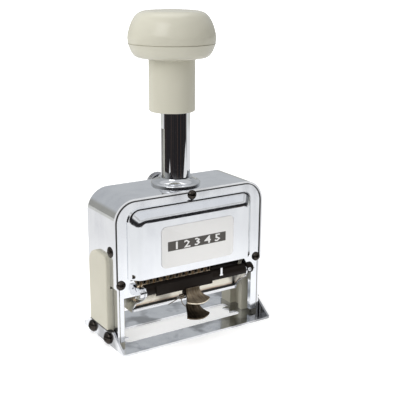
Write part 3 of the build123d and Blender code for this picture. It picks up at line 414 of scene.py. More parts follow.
# The collar and the stop button take darker copies of the chrome: painted dark reflection
collar_chrome = plated("collar_chrome", (0.66, 0.67, 0.69), (0.56, 0.57, 0.59), 0.05, 0.14)
button_chrome = plated("button_chrome", (0.46, 0.46, 0.48), (0.30, 0.30, 0.31), 0.10, 0.24)
spring_wire = plated("spring_wire", (0.26, 0.22, 0.17), (0.13, 0.105, 0.08), 0.20, 0.34)
milled_steel = plated("milled_steel", (0.84, 0.84, 0.78), (0.76, 0.76, 0.70), 0.45, 0.60)
blacked = plated("blacked_steel", (0.040, 0.034, 0.029), (0.075, 0.066, 0.058), 0.16, 0.32)

# Lacquer, plastic and ink: light and shaded colour, roughness, then grain and gloss
bar_black = moulded("bar_black", (0.0070, 0.0048, 0.0036), (0.012, 0.009, 0.007), 0.45, gloss=0.10)
ivory = moulded("ivory_sides", (0.62, 0.59, 0.49), (0.56, 0.54, 0.44), 0.42)
knob_ivory = moulded(
    "knob_ivory", (0.655, 0.635, 0.525), (0.635, 0.615, 0.51), 0.20, grain=0.000006,
)
matt_black = moulded("matt_black", (0.018, 0.017, 0.016), (0.03, 0.028, 0.026), 0.5)
label_foil = moulded(
    "label_foil", (0.71, 0.705, 0.695), (0.68, 0.675, 0.665), 0.36, grain=FINE_GRAIN,
)
band_ink = moulded(
    "band_ink", (0.052, 0.047, 0.042), (0.070, 0.064, 0.058), 0.45, grain=FINE_GRAIN,
)
mark_ink = moulded(
    "mark_ink", (0.030, 0.030, 0.032), (0.045, 0.045, 0.047), 0.45, grain=FINE_GRAIN,
)

# Bronze: light colour and the colour of its streaks
bronze = rolled_bronze("rolled_bronze", (0.23, 0.185, 0.13), (0.13, 0.10, 0.067))
# The lower tab's darker copy of the bronze is painted shade under the upper tab
shaded_bronze = rolled_bronze("painted_shade_bronze", (0.13, 0.10, 0.068), (0.035, 0.027, 0.019))
# A much lighter bronze for the front faces at the tab's tip
light_rim_bronze = rolled_bronze("light_rim", (0.85, 0.78, 0.64), (0.60, 0.52, 0.40))

wheel_ink = inked_wheels()
type_metal = rubbed_type()
felt = pressed_felt()

FINISHES = {
    chrome: "frame_strap rod_ring rod_screw pad_rod bar_boss bar_clip",
    collar_chrome: "guide_collar",
    button_chrome: "stop_button stop_bush",
    shaft_chrome: "plunger_shaft",
    base_chrome: "base_plate",
    cover_chrome: "front_cover rear_cover",
    tray_chrome: "pad_tray",
    plain_steel: "top_plate spring_bridge spring_pin shaft_plug return_spring carriage_yoke "
                 "wheel_axle axle_clip detent_comb pawl_frame pawl_comb tab_pin",
    spring_wire: "tab_spring",
    wheel_ink: " ".join(WHEELS),
    blacked: "front_screws rear_screws base_screws side_screws",
    bar_black: "pad_bar tab_plate spacer_sleeve rod_block",
    bronze: "tab_upper tab_lower",
    ivory: "side_cover_left side_cover_right side_guide_left side_guide_right repeat_dial",
    knob_ivory: "knob_body knob_cap",
    matt_black: "pad_carrier stop_pads",
    label_foil: "label_plate",
    felt: "ink_pad",
}
for finish, names in FINISHES.items():
    for name in names.split():
        nodes[name].data.materials.clear()
        nodes[name].data.materials.append(finish)


# ---------------------------------------------------------------- making pieces
MERGE = 0.002 * MM          # points of a mesh nearer than this are joined
ROUND_SEGMENTS = 2
ROUND_ANGLE = math.radians(40)
FIGURE_SHARE = 0.69         # height of a figure as a share of its font's size


def finished(name, bm, finishes, body, crease=35):
    """A finished piece from a bmesh, which rides on a body; edges over the crease stay sharp."""
    mesh = bpy.data.meshes.new(name)
    bm.to_mesh(mesh)
    bm.free()
    for face in mesh.polygons:
        face.use_smooth = True
    mesh.set_sharp_from_angle(angle=math.radians(crease))
    for finish in finishes:
        mesh.materials.append(finish)
    made = bpy.data.objects.new(name, mesh)
    bpy.context.scene.collection.objects.link(made)
    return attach(made, body)


def rounded(made, width):
    """Breaks the edges of a piece with a small round, width in mm."""
    bevel = made.modifiers.new("rounded_edges", "BEVEL")
    bevel.width = width * MM
    bevel.segments = ROUND_SEGMENTS
    bevel.limit_method = "ANGLE"
    bevel.angle_limit = ROUND_ANGLE
    bevel.use_clamp_overlap = False
    bevel.harden_normals = True
    return made


def dressed(name, round_edge):
    """A CAD piece with its triangles joined, shaded smooth, its edges rounded by so many mm."""
    bm = bmesh.new()
    bm.from_mesh(nodes[name].data)
    bmesh.ops.remove_doubles(bm, verts=bm.verts, dist=MERGE)
    finishes = [nodes[name].data.materials[0]]
    made = finished(name + "_dressed", bm, finishes, nodes[name]["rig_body"])
    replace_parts(rounded(made, round_edge), name)


def block(bm, low, high):
    """A closed box between two corners, added to a bmesh."""
    verts = bmesh.ops.create_cube(bm, size=1.0)["verts"]
    size = [top - bottom for bottom, top in zip(low, high)]
    middle = [(top + bottom) / 2 for bottom, top in zip(low, high)]
    bmesh.ops.scale(bm, vec=size, verts=verts)
    bmesh.ops.translate(bm, vec=middle, verts=verts)


def turned(bm, profile, centre, axis, steps):
    """A closed shape turned from a profile of (along, radius) about an axis of unit length."""
    centre, axis = Vector(centre), Vector(axis)
    across = Vector((1, 0, 0)) if abs(axis.x) < 0.5 else Vector((0, 1, 0))
    corners = [bm.verts.new(centre + axis * along + across * radius) for along, radius in profile]
    edges = [bm.edges.new(pair) for pair in zip(corners, corners[1:])]
    bmesh.ops.spin(
        bm, geom=corners + edges, cent=centre, axis=axis, angle=2 * math.pi, steps=steps,
        use_merge=True,
    )
    bmesh.ops.remove_doubles(bm, verts=bm.verts, dist=MERGE)
    bmesh.ops.recalc_face_normals(bm, faces=bm.faces)


def curve_mesh(name, curve):
    """The mesh of a text or curve."""
    holder = bpy.data.objects.new(name, curve)
    bpy.context.scene.collection.objects.link(holder)
    mesh = bpy.data.meshes.new_from_object(holder)
    bpy.data.objects.remove(holder)
    return mesh


def sign_mesh(sign, height, thick, bold):
    """A figure as a thin mesh, centred on its own middle, height and thickness in metres."""
    letter = bpy.data.curves.new("sign", "FONT")
    letter.body = sign
    letter.size = height / FIGURE_SHARE
    letter.resolution_u = 1
    letter.offset = bold
    letter.extrude = thick / 2
    mesh = curve_mesh("sign", letter)
    for axis in (0, 1):
        reach = [vertex.co[axis] for vertex in mesh.vertices]
        middle = (min(reach) + max(reach)) / 2
        for vertex in mesh.vertices:
            vertex.co[axis] -= middle
    return mesh


def add_sign(bm, sign, height, thick, place, bold=0.0):
    """A figure added to a bmesh, each of its points carried to place(across, up, out)."""
    mesh = sign_mesh(sign, height, thick, bold)
    first = len(bm.verts)
    bm.from_mesh(mesh)
    bm.verts.ensure_lookup_table()
    for vertex in bm.verts[first:]:
        vertex.co = Vector(place(vertex.co.x, vertex.co.y, vertex.co.z + thick / 2))
    bpy.data.meshes.remove(mesh)


# ---------------------------------------------------------------- keyway and plain pieces
KEYWAY_DEPTHS = (-8.0 * MM, -5.0 * MM)     # the keyway's floor lies between these in X
SKIN = 0.05 * MM
SKIN_EDGE = 0.02
ROUND_EDGES = {
    "pad_tray": 0.20, "pad_bar": 0.20, "tab_plate": 0.12, "rod_block": 0.15, "bar_clip": 0.10,
    "carriage_yoke": 0.25, "spacer_sleeve": 0.15, "stop_bush": 0.10, "label_plate": 0.08,
}


def milled_keyway():
    """Thin skin over the flat floor of the shaft's keyway, which is left as milled."""
    shaft = nodes["plunger_shaft"]
    outer, inner = KEYWAY_DEPTHS
    flats = [
        face for face in shaft.data.polygons
        if face.normal.x < -0.99 and outer < face.center.x < inner
    ]
    spots = [shaft.data.vertices[index].co for face in flats for index in face.vertices]
    low = [min(spot[axis] for spot in spots) for axis in range(3)]
    high = [max(spot[axis] for spot in spots) for axis in range(3)]
    bm = bmesh.new()
    block(
        bm, (low[0] - SKIN, low[1] + SKIN, low[2] + SKIN),
        (high[0] + SKIN, high[1] - SKIN, high[2] - SKIN),
    )
    rounded(finished("keyway_floor", bm, [milled_steel], shaft["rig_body"]), SKIN_EDGE)


# ---------------------------------------------------------------- bend of the covers, and painted shadow in their seams
PLATE_FRONT = -14.2 * MM
FOOT_HALF = 40.67 * MM
FOOT_TOP = 79.66 * MM
FOOT_BOTTOM = 40.35 * MM
FOOT_CORNER = 6.5 * MM
FOOT_SUNK = 0.02 * MM
SLOPE_ANGLE = math.radians(41)
BEND_REACH = 0.9 * MM
BEND_STEPS = 8
SEAM_AT = 48.55 * MM
SEAM_TOP = 85.05 * MM
SEAM_FOOT = 36.7 * MM
SEAM_CORNER = 11.75 * MM
SEAM_WIDTH_HALF = 0.27 * MM
SEAM_DEEP = 2.0 * MM
SEAM_INNER = 0.7 * MM
SEAM_OUTER = 0.3 * MM
CORNER_STEPS = 10
SIDE_SEAM_RISE = 0.45 * MM
SIDE_SEAM_FOOT = 9.62 * MM
SIDE_SEAM_FRONT = -9.6 * MM
SIDE_SEAM_REAR = 15.6 * MM
SIDE_SEAM_INNER = 49.4 * MM
SIDE_SEAM_INSET = 0.997
SIDE_SEAM_EDGE = 0.1


def extend(bm, edges, vec):
    """Carries an open section on in a straight line; returns its new edges."""
    grown = bmesh.ops.extrude_edge_only(bm, edges=edges)["geom"]
    verts = [part for part in grown if isinstance(part, bmesh.types.BMVert)]
    bmesh.ops.translate(bm, vec=vec, verts=verts)
    return [part for part in grown if isinstance(part, bmesh.types.BMEdge) and part.is_boundary]


def arch(section, half, top, bottom, corner):
    """A closed section of (aside, out) carried up one side of the front plate, over and down."""
    bm = bmesh.new()
    corners = [bm.verts.new((-half - aside, PLATE_FRONT - out, bottom)) for aside, out in section]
    edges = [bm.edges.new(pair) for pair in zip(corners, corners[1:] + corners[:1])]
    edges = extend(bm, edges, (0, 0, top - corner - bottom))
    for side in (-1, 1):
        last = bmesh.ops.spin(
            bm, geom=edges, cent=(side * (half - corner), 0, top - corner), axis=(0, 1, 0),
            angle=math.pi / 2, steps=CORNER_STEPS,
        )["geom_last"]
        edges = [part for part in last if isinstance(part, bmesh.types.BMEdge)]
        run = (2 * (half - corner), 0, 0) if side < 0 else (0, 0, bottom - top + corner)
        edges = extend(bm, edges, run)
    bmesh.ops.remove_doubles(bm, verts=bm.verts, dist=MERGE)
    bmesh.ops.holes_fill(bm, edges=bm.edges, sides=0)
    bmesh.ops.recalc_face_normals(bm, faces=bm.faces)
    return bm


def panel_foot_bend():
    """Hollow round where the raised panel meets the front plate."""
    radius = BEND_REACH / math.tan(SLOPE_ANGLE / 2)
    section = [(0.0, -FOOT_SUNK)]
    for step in range(BEND_STEPS + 1):
        angle = SLOPE_ANGLE * step / BEND_STEPS
        section.append((BEND_REACH - radius * math.sin(angle), radius * (1 - math.cos(angle))))
    bm = arch(section, FOOT_HALF, FOOT_TOP, FOOT_BOTTOM, FOOT_CORNER)
    bend = finished("panel_foot_bend", bm, [cover_chrome], "frame")
    # Flat faces stay flat in the shading beside the rounds that meet them
    bend.modifiers.new("true_flats", "WEIGHTED_NORMAL").keep_sharp = True


def cover_seam():
    """Dark strip in the joint between the strap's edge and the front cover: painted shadow in the
    gap.
    """
    section = [
        (-SEAM_WIDTH_HALF, -SEAM_DEEP), (SEAM_WIDTH_HALF, -SEAM_DEEP),
        (SEAM_WIDTH_HALF, -SEAM_INNER), (-SEAM_WIDTH_HALF, -SEAM_OUTER),
    ]
    bm = arch(section, SEAM_AT, SEAM_TOP, SEAM_FOOT, SEAM_CORNER)
    finished("cover_seam", bm, [matt_black], "frame")


def side_seams():
    """Dark strip under the foot of each ivory side cover: painted shadow in the gap."""
    for side in ("left", "right"):
        low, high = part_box("side_cover_" + side)
        outer, inner = sorted((low[0], high[0]), key=abs, reverse=True)
        across = sorted((outer * SIDE_SEAM_INSET, math.copysign(SIDE_SEAM_INNER, inner)))
        bm = bmesh.new()
        block(
            bm, (across[0], SIDE_SEAM_FRONT, SIDE_SEAM_FOOT - SIDE_SEAM_RISE),
            (across[1], SIDE_SEAM_REAR, SIDE_SEAM_FOOT),
        )
        rounded(finished("side_shadow_strip_" + side, bm, [matt_black], "frame"), SIDE_SEAM_EDGE)


# ---------------------------------------------------------------- number wheels
FIGURE_HEIGHT = 3.1 * MM
FIGURE_RISE = 0.2 * MM
FIGURE_SUNK = 0.05 * MM


def wheel_figures(number):
    """Ten raised figures round one wheel, cut the wrong way round as type is."""
    bm = bmesh.new()
    middle = WHEEL_LEFT + number * WHEEL_PITCH + RIM_WIDTH / 2
    for figure in range(LANDS):
        start = math.pi + figure * LAND_STEP

        def on_land(across, up, out, start=start):
            angle = start - up / WHEEL_R
            radius = WHEEL_R - FIGURE_SUNK + out
            return (
                middle - across, AXLE_Y + radius * math.cos(angle),
                AXLE_Z + radius * math.sin(angle),
            )

        add_sign(bm, str(figure), FIGURE_HEIGHT, FIGURE_RISE + FIGURE_SUNK, on_land)
    bmesh.ops.recalc_face_normals(bm, faces=bm.faces)
    finished("wheel_figures_%02d" % (number + 1), bm, [type_metal], "wheel_%02d" % (number + 1))


# ---------------------------------------------------------------- felt pad
FELT_GRID = 1.2 * MM
FELT_EDGE = 0.55 * MM
FELT_CROWN = 0.28 * MM
FELT_DENT = 0.16 * MM
FELT_DENT_REACH = 4 * MM
FELT_LUMP = 0.10 * MM
FELT_LUMP_SCALE = 260.0
FELT_SWAY = 0.05 * MM
FELT_SWAY_SCALE = 310.0


def felt_grid(bm):
    """Cuts the felt into small squares along all three axes."""
    for axis in range(3):
        length = FELT_HIGH[axis] - FELT_LOW[axis]
        count = round(length / FELT_GRID)
        normal = Vector([1.0 if axis == n else 0.0 for n in range(3)])
        for cut in range(1, count):
            at = FELT_LOW[axis] + length * cut / count
            bmesh.ops.bisect_plane(
                bm, geom=bm.verts[:] + bm.edges[:] + bm.faces[:],
                plane_co=normal * at, plane_no=normal,
            )


def felt_pad():
    """Felt that fills the tray: soft edges, a low crown and a shallow dent under each wheel."""
    bm = bmesh.new()
    block(bm, FELT_LOW, FELT_HIGH)
    bmesh.ops.bevel(
        bm, geom=bm.edges, offset=FELT_EDGE, segments=3, profile=0.5, affect="EDGES", material=-1,
    )
    felt_grid(bm)
    middle_y = (FELT_LOW[1] + FELT_HIGH[1]) / 2
    half_y = (FELT_HIGH[1] - FELT_LOW[1]) / 2
    wheels_right = WHEEL_LEFT + len(WHEELS) * WHEEL_PITCH
    for vertex in bm.verts:
        place = vertex.co
        high = (place.z - FELT_LOW[2]) / (FELT_HIGH[2] - FELT_LOW[2])
        crown = FELT_CROWN * (1 - ((place.y - middle_y) / half_y) ** 2)
        dent = 0.0
        if WHEEL_LEFT < place.x < wheels_right:
            phase = (place.x - WHEEL_LEFT - RIM_WIDTH / 2) / WHEEL_PITCH
            dent = FELT_DENT * (1 + math.cos(2 * math.pi * phase))
            dent *= max(0.0, 1 - ((place.y - AXLE_Y) / FELT_DENT_REACH) ** 2)
        lump = noise.noise(place * FELT_LUMP_SCALE) * FELT_LUMP
        place.z += high * (crown - dent + lump)
        place.y += lump * 0.6 * high
        place.x += noise.noise(place * FELT_SWAY_SCALE) * FELT_SWAY * high
    pad = finished("felt_pad", bm, [felt], "pad", crease=60)
    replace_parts(pad, "ink_pad")


# ---------------------------------------------------------------- label
LABEL_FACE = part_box("label_plate")[0][1]
BAND_LEFT, BAND_RIGHT = -19.15 * MM, 19.85 * MM
BAND_BOTTOM, BAND_TOP = 54.4 * MM, 60.0 * MM
BAND_RISE = 0.06 * MM
BAND_EDGE = 0.02
SIGN_COUNT = 5
SIGN_FIRST = -13.4 * MM
SIGN_PITCH = 6.9 * MM
SIGN_HEIGHT = 4.2 * MM
SIGN_THICK = 0.04 * MM
SIGN_STRETCH = 1.45
SIGN_BOLD = 0.12 * MM


def label_band():
    """Dark band across the label, with plain figures in it."""
    bm = bmesh.new()
    block(
        bm, (BAND_LEFT, LABEL_FACE - BAND_RISE, BAND_BOTTOM),
        (BAND_RIGHT, LABEL_FACE + BAND_RISE, BAND_TOP),
    )
    rounded(finished("label_band", bm, [band_ink], "frame"), BAND_EDGE)
    bm = bmesh.new()
    for place in range(SIGN_COUNT):
        middle = SIGN_FIRST + place * SIGN_PITCH

        def on_band(across, up, out, middle=middle):
            return (
                middle + across * SIGN_STRETCH, LABEL_FACE - BAND_RISE - out,
                (BAND_BOTTOM + BAND_TOP) / 2 + up,
            )

        add_sign(bm, str(place + 1), SIGN_HEIGHT, SIGN_THICK, on_band, SIGN_BOLD)
    bmesh.ops.recalc_face_normals(bm, faces=bm.faces)
    finished("label_figures", bm, [label_foil], "frame")


# ---------------------------------------------------------------- finger tabs
TAB_X = -4.6 * MM
TAB_ROOT = 4.4 * MM
TAB_TIP = 8.25 * MM
TAB_THICK = 0.8 * MM
# Side curve of the tab from root to tip, as Y and Z in mm
TAB_SIDE = [(-21.7, 31.0), (-22.0, 27.2), (-26.0, 26.4), (-31.4, 25.0)]
TAB_TOP = TAB_SIDE[0][1] * MM
TAB_DROP = 9.5 * MM
TAB_ROWS = 22
TAB_COLUMNS = 36
TAB_ROUND = 0.22
TAB_SPREAD = 7.3 * MM
TAB_FLARE = 1.3
TAB_FLUTES = 5
TAB_RIM_Y = -27.0 * MM
TAB_EDGE = 0.10
TAB_CREASE = 45
FLUTE = 0.03 * MM
PIN_Y = -20.3 * MM
PIN_Z = 26.4 * MM
BARREL_R = 1.35 * MM
BARREL_STEPS = 24
NECK_HALF = 3.8 * MM
NECK_FRONT = -21.7 * MM
NECK_BACK = -20.9 * MM
NECK_LAP = 0.1 * MM
LEG_WIRE_R = 0.25 * MM
# Straight ends of the tab spring, in mm: one behind the plate, one down behind the lower tab
SPRING_LEGS = {
    "spring_leg_lower": [(-12.0, -21.3, 25.9), (-12.6, -22.0, 22.6), (-9.6, -22.4, 20.6)],
    "spring_leg_upper": [(-13.0, -21.2, 26.9), (-15.4, -21.6, 25.6), (-20.4, -20.9, 23.7)],
}


def tab_curve(share):
    """Y and Z along the tab's side curve, from root at 0 to tip at 1."""
    weights = [math.comb(3, k) * share ** k * (1 - share) ** (3 - k) for k in range(4)]
    return [
        sum(weight * point[axis] for weight, point in zip(weights, TAB_SIDE)) * MM
        for axis in (0, 1)
    ]


def tab_leaf(bm, drop):
    """Fan-shaped leaf with shallow flutes and a pointed corner each side, lowered by drop."""
    sheet = bmesh.ops.create_grid(
        bm, x_segments=TAB_COLUMNS, y_segments=TAB_ROWS, size=1.0,
    )["verts"]
    for vertex in sheet:
        across = vertex.co.x
        share = (1 + vertex.co.y) / 2
        depth, height = tab_curve(share * (1 - TAB_ROUND * across * across))
        spread = min(1.0, (NECK_FRONT - depth) / TAB_SPREAD)
        half = TAB_ROOT + (TAB_TIP - TAB_ROOT) * max(0.0, spread) ** TAB_FLARE
        flute = FLUTE * math.cos(TAB_FLUTES * math.pi * across) * math.sin(math.pi * share)
        vertex.co = Vector((TAB_X + across * half, depth - flute, height - drop + flute))
    faces = list({face for vertex in sheet for face in vertex.link_faces})
    bmesh.ops.recalc_face_normals(bm, faces=faces)
    if sum(face.normal.z for face in faces) < 0:
        bmesh.ops.reverse_faces(bm, faces=faces)
    bmesh.ops.solidify(bm, geom=faces, thickness=TAB_THICK)
    # Front faces near the tip take the second finish, the lighter one
    for face in bm.faces:
        if face.normal.y < -0.5 and face.calc_center_median().y < TAB_RIM_Y:
            face.material_index = 1


def finger_tabs():
    """Upper tab fixed to its plate, and the lower one that turns on its pin."""
    bm = bmesh.new()
    tab_leaf(bm, 0.0)
    upper = finished("finger_tab_upper", bm, [bronze, light_rim_bronze], "pad", crease=TAB_CREASE)
    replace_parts(rounded(upper, TAB_EDGE), "tab_upper")
    bm = bmesh.new()
    tab_leaf(bm, TAB_DROP)
    block(
        bm, (TAB_X - NECK_HALF, NECK_FRONT, TAB_TOP - TAB_DROP - NECK_LAP),
        (TAB_X + NECK_HALF, NECK_BACK, PIN_Z),
    )
    barrel = [(-NECK_HALF, 0.0), (-NECK_HALF, BARREL_R), (NECK_HALF, BARREL_R), (NECK_HALF, 0.0)]
    turned(bm, barrel, (TAB_X, PIN_Y, PIN_Z), (1, 0, 0), BARREL_STEPS)
    # The lower leaf takes the darker bronze, painted shade; its rim takes the plain bronze
    lower = finished("finger_tab_lower", bm, [shaded_bronze, bronze], "lower_tab", crease=TAB_CREASE)
    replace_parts(rounded(lower, TAB_EDGE), "tab_lower")


def spring_legs():
    """The two straight ends of the tab spring."""
    for name, points in SPRING_LEGS.items():
        wire = bpy.data.curves.new(name, "CURVE")
        wire.dimensions = "3D"
        wire.bevel_depth = LEG_WIRE_R
        wire.bevel_resolution = 2
        wire.use_fill_caps = True
        line = wire.splines.new("NURBS")
        line.points.add(len(points) - 1)
        for point, place in zip(line.points, points):
            point.co = (*(MM * part for part in place), 1.0)
        line.order_u = 3
        line.use_endpoint_u = True
        bm = bmesh.new()
        bm.from_mesh(curve_mesh(name, wire))
        finished(name, bm, [spring_wire], "pad")


# ---------------------------------------------------------------- stop button and dial on the back
BUTTON_Z = 81.5 * MM
# Button turned about its stem, as (along, radius) in mm
BUTTON_PROFILE = [
    (18.2, 0.0), (18.2, 1.6), (23.6, 1.6), (23.7, 3.2), (24.3, 3.2), (24.3, 6.3), (24.7, 6.95),
    (28.2, 6.95), (28.7, 6.5), (29.1, 5.6), (29.35, 4.2), (29.5, 2.2), (29.5, 0.0),
]
BUTTON_FLUTES = 36
BUTTON_FLUTED_R = 6.8 * MM
BUTTON_FLUTE_SHARE = 0.955
BUTTON_CREASE = 20
DIAL_X = 22.0 * MM
DIAL_Z = 54.0 * MM
DIAL_FACE = 26.1 * MM
DIAL_NUMBER_R = 7.2 * MM
DIAL_NUMBER_HEIGHT = 2.1 * MM
DIAL_NUMBER_THICK = 0.1 * MM
DIAL_NUMBER_SUNK = 0.04 * MM
DIAL_NUMBERS = ("0", "1", "2", "3", "4", "5", "6", "12")
POINTER_R = 1.5 * MM
POINTER_THICK = 0.5 * MM
POINTER_UP = 12.6 * MM
POINTER_EDGE = 0.1
QUARTER = math.radians(90)


def knurled_button():
    """Stop button: a domed head with a fluted rim, on its hub and stem."""
    bm = bmesh.new()
    profile = [(along * MM, radius * MM) for along, radius in BUTTON_PROFILE]
    turned(bm, profile, (0, 0, BUTTON_Z), (0, 1, 0), 2 * BUTTON_FLUTES)
    for vertex in bm.verts:
        radius = math.hypot(vertex.co.x, vertex.co.z - BUTTON_Z)
        turn = math.atan2(vertex.co.z - BUTTON_Z, vertex.co.x) / math.pi * BUTTON_FLUTES
        if radius > BUTTON_FLUTED_R and round(turn) % 2:
            vertex.co.x *= BUTTON_FLUTE_SHARE
            vertex.co.z = BUTTON_Z + (vertex.co.z - BUTTON_Z) * BUTTON_FLUTE_SHARE
    button = finished("knurled_button", bm, [button_chrome], "stop_button", crease=BUTTON_CREASE)
    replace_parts(button, "stop_button")


def dial_marks():
    """Numbers round the repeat dial, and the pointer over it on the rear cover."""
    bm = bmesh.new()
    for place, number in enumerate(DIAL_NUMBERS):
        angle = math.pi / 2 + place * 2 * math.pi / len(DIAL_NUMBERS)

        def on_dial(across, up, out, angle=angle):
            # Seen from behind, so across runs towards -X
            reach = DIAL_NUMBER_R + up
            side_x, side_z = math.sin(angle), -math.cos(angle)
            return (
                DIAL_X + reach * math.cos(angle) - across * side_x,
                DIAL_FACE - DIAL_NUMBER_SUNK + out,
                DIAL_Z + reach * math.sin(angle) - across * side_z,
            )

        add_sign(bm, number, DIAL_NUMBER_HEIGHT, DIAL_NUMBER_THICK, on_dial)
    bmesh.ops.recalc_face_normals(bm, faces=bm.faces)
    finished("dial_numbers", bm, [mark_ink], "repeat_dial")
    bm = bmesh.new()
    wedge = bmesh.ops.create_cone(
        bm, cap_ends=True, segments=3, radius1=POINTER_R, radius2=POINTER_R, depth=POINTER_THICK,
    )["verts"]
    bmesh.ops.rotate(bm, verts=wedge, matrix=Matrix.Rotation(QUARTER, 3, "X"))
    bmesh.ops.rotate(bm, verts=wedge, matrix=Matrix.Rotation(-QUARTER, 3, "Y"))
    rear_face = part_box("rear_cover")[1][1]
    bmesh.ops.translate(bm, verts=wedge, vec=(DIAL_X, rear_face, DIAL_Z + POINTER_UP))
    rounded(finished("dial_pointer", bm, [mark_ink], "frame"), POINTER_EDGE)


# ---------------------------------------------------------------- return spring
def spring_travel():
    """Gives the return spring a mesh of its own."""
    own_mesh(nodes["return_spring"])


for name, round_edge in ROUND_EDGES.items():
    dressed(name, round_edge)
milled_keyway()
panel_foot_bend()
cover_seam()
side_seams()
for number in range(len(WHEELS)):
    wheel_figures(number)
felt_pad()
label_band()
finger_tabs()
spring_legs()
knurled_button()
dial_marks()
spring_travel()


# ---------------------------------------------------------------- studio
FLOOR_HALF = 12.0
# The white sheet as bright metal sees it, distances in metres from the machine
TOWARDS_FRONT = (-0.538, -0.843, 0.0)
SHEET_END = 0.33
SHEET_FADE = 0.03
SHEET_CORNERS = ((0.96, 0.40, 0.20), (-1.35, 0.16, 0.10))     # bearing, half width, reach
# Painted glow for mirrors, brighter near the machine, fading out between these distances
MIRROR_GLOW_FADE = (0.09, 0.22)
SHEET_SEEN_NEAR = 0.95
SHEET_SEEN = 0.62
SHEET_COLOR = (0.86, 0.86, 0.86)
SHEET_MIRRORED = (0.30, 0.30, 0.30)
TABLE_DARK = (0.006, 0.006, 0.008)
TABLE_BROWN = (0.12, 0.07, 0.05)
BEHIND_FROM = (0.60, 0.68)
BEHIND_FLOOR = (0.43, 0.435, 0.40)
# What lifts the sheet to white for the camera, near and far
CAMERA_LIFT = 0.42
CAMERA_LIFT_FAR = 0.70
LIFT_BETWEEN = (0.2, 1.5)
# The room as bright metal sees it, by the height or the side that a ray points to
CEILING = (0.80, 0.81, 0.83)
CEILING_FROM = (0.62, 0.68)
WALL_LOW = (0.38, 0.38, 0.355)
WALL_HIGH = (0.54, 0.56, 0.58)
WALL_FOOT = (0.27, 0.12)
SCREEN_FROM = (0.30, 0.40)
SCREEN_BAND_AT = 0.55
SCREEN_BAND_EDGE = (0.02, 0.07)
SCREEN_BAND = (0.50, 0.50, 0.50)
ROOM_DARK = (0.02, 0.02, 0.022)
# Soft light on dull surfaces, strongest from the left
TOWARDS_FILL = (-0.85, 0.53, 0.0)
FILL_LEFT = 1.25
FILL_RIGHT = 0.18
# Lamps: name, place, aim, size, power in watts, spread in degrees
LAMPS = (
    ("left_box", (-0.9, -0.5, 0.9), (0, 0, 0.09), (0.7, 0.7), 3.2, 180),
    ("top_box", (0.1, 0.2, 1.3), (0, 0, 0.05), (0.9, 0.9), 3.5, 180),
    ("low_box", (0.25, -0.36, 0.03), (-0.005, -0.02, 0.03), (0.08, 0.04), 0.022, 24),
)
CAMERA_AZIMUTH = math.radians(-32.572)
CAMERA_ELEVATION = math.radians(15.833)
CAMERA_ROLL = math.radians(0.355)
CAMERA_AIM = (0.017006, 0.005, 0.073563)
CAMERA_DISTANCE = 0.486411
CAMERA_LENS = 72.84
CAMERA_SENSOR = 36.0


def grey(tree, level):
    """A grey as bright as level."""
    return add_node(tree, "CombineXYZ", [("X", level), ("Y", level), ("Z", level)]).outputs[0]


def facing_share(tree, vector, direction):
    """How far a vector points in a direction."""
    node = add_node(tree, "VectorMath", [(0, vector)], operation="DOT_PRODUCT")
    node.inputs[1].default_value = direction
    return node.outputs["Value"]


def mirrored_floor(tree, far, bearing, round_front):
    """What bright metal sees of the floor, and a mask of the dark table in it."""
    # The sheet's two near corners reach further over the dark table
    within = far
    for corner, width, reach in SHEET_CORNERS:
        beside = maths(tree, "ABSOLUTE", maths(tree, "SUBTRACT", bearing, corner))
        within = maths(tree, "SUBTRACT", within, ranged(tree, beside, 0.0, width, reach, 0.0))
    table = maths(
        tree, "MULTIPLY", rising(tree, within, SHEET_END, SHEET_END + SHEET_FADE),
        rising(tree, round_front, low=-0.25, high=0.0),
    )
    # Brown streaks of the room on the dark table
    streak = add_node(tree, "CombineXYZ", [("X", bearing)]).outputs[0]
    brown = rising(tree, broad_noise(tree, streak, scale=9.0, detail=3.0), low=0.56, high=0.64)
    dark = mixed(tree, brown, TABLE_DARK, TABLE_BROWN)
    # A mirror sees the sheet glow as painted light, brighter near the machine to lift the
    # machine's own shade, which the lit sheet under it still carries
    sheet = grey(tree, ranged(tree, far, *MIRROR_GLOW_FADE, SHEET_SEEN_NEAR, SHEET_SEEN))
    mirrored = mixed(tree, table, sheet, dark)
    # Far behind, the sheet runs into an olive-grey floor
    behind = maths(
        tree, "MULTIPLY", rising(tree, far, *BEHIND_FROM),
        rising(tree, round_front, low=-0.2, high=-0.35),
    )
    return mixed(tree, behind, mirrored, BEHIND_FLOOR), table


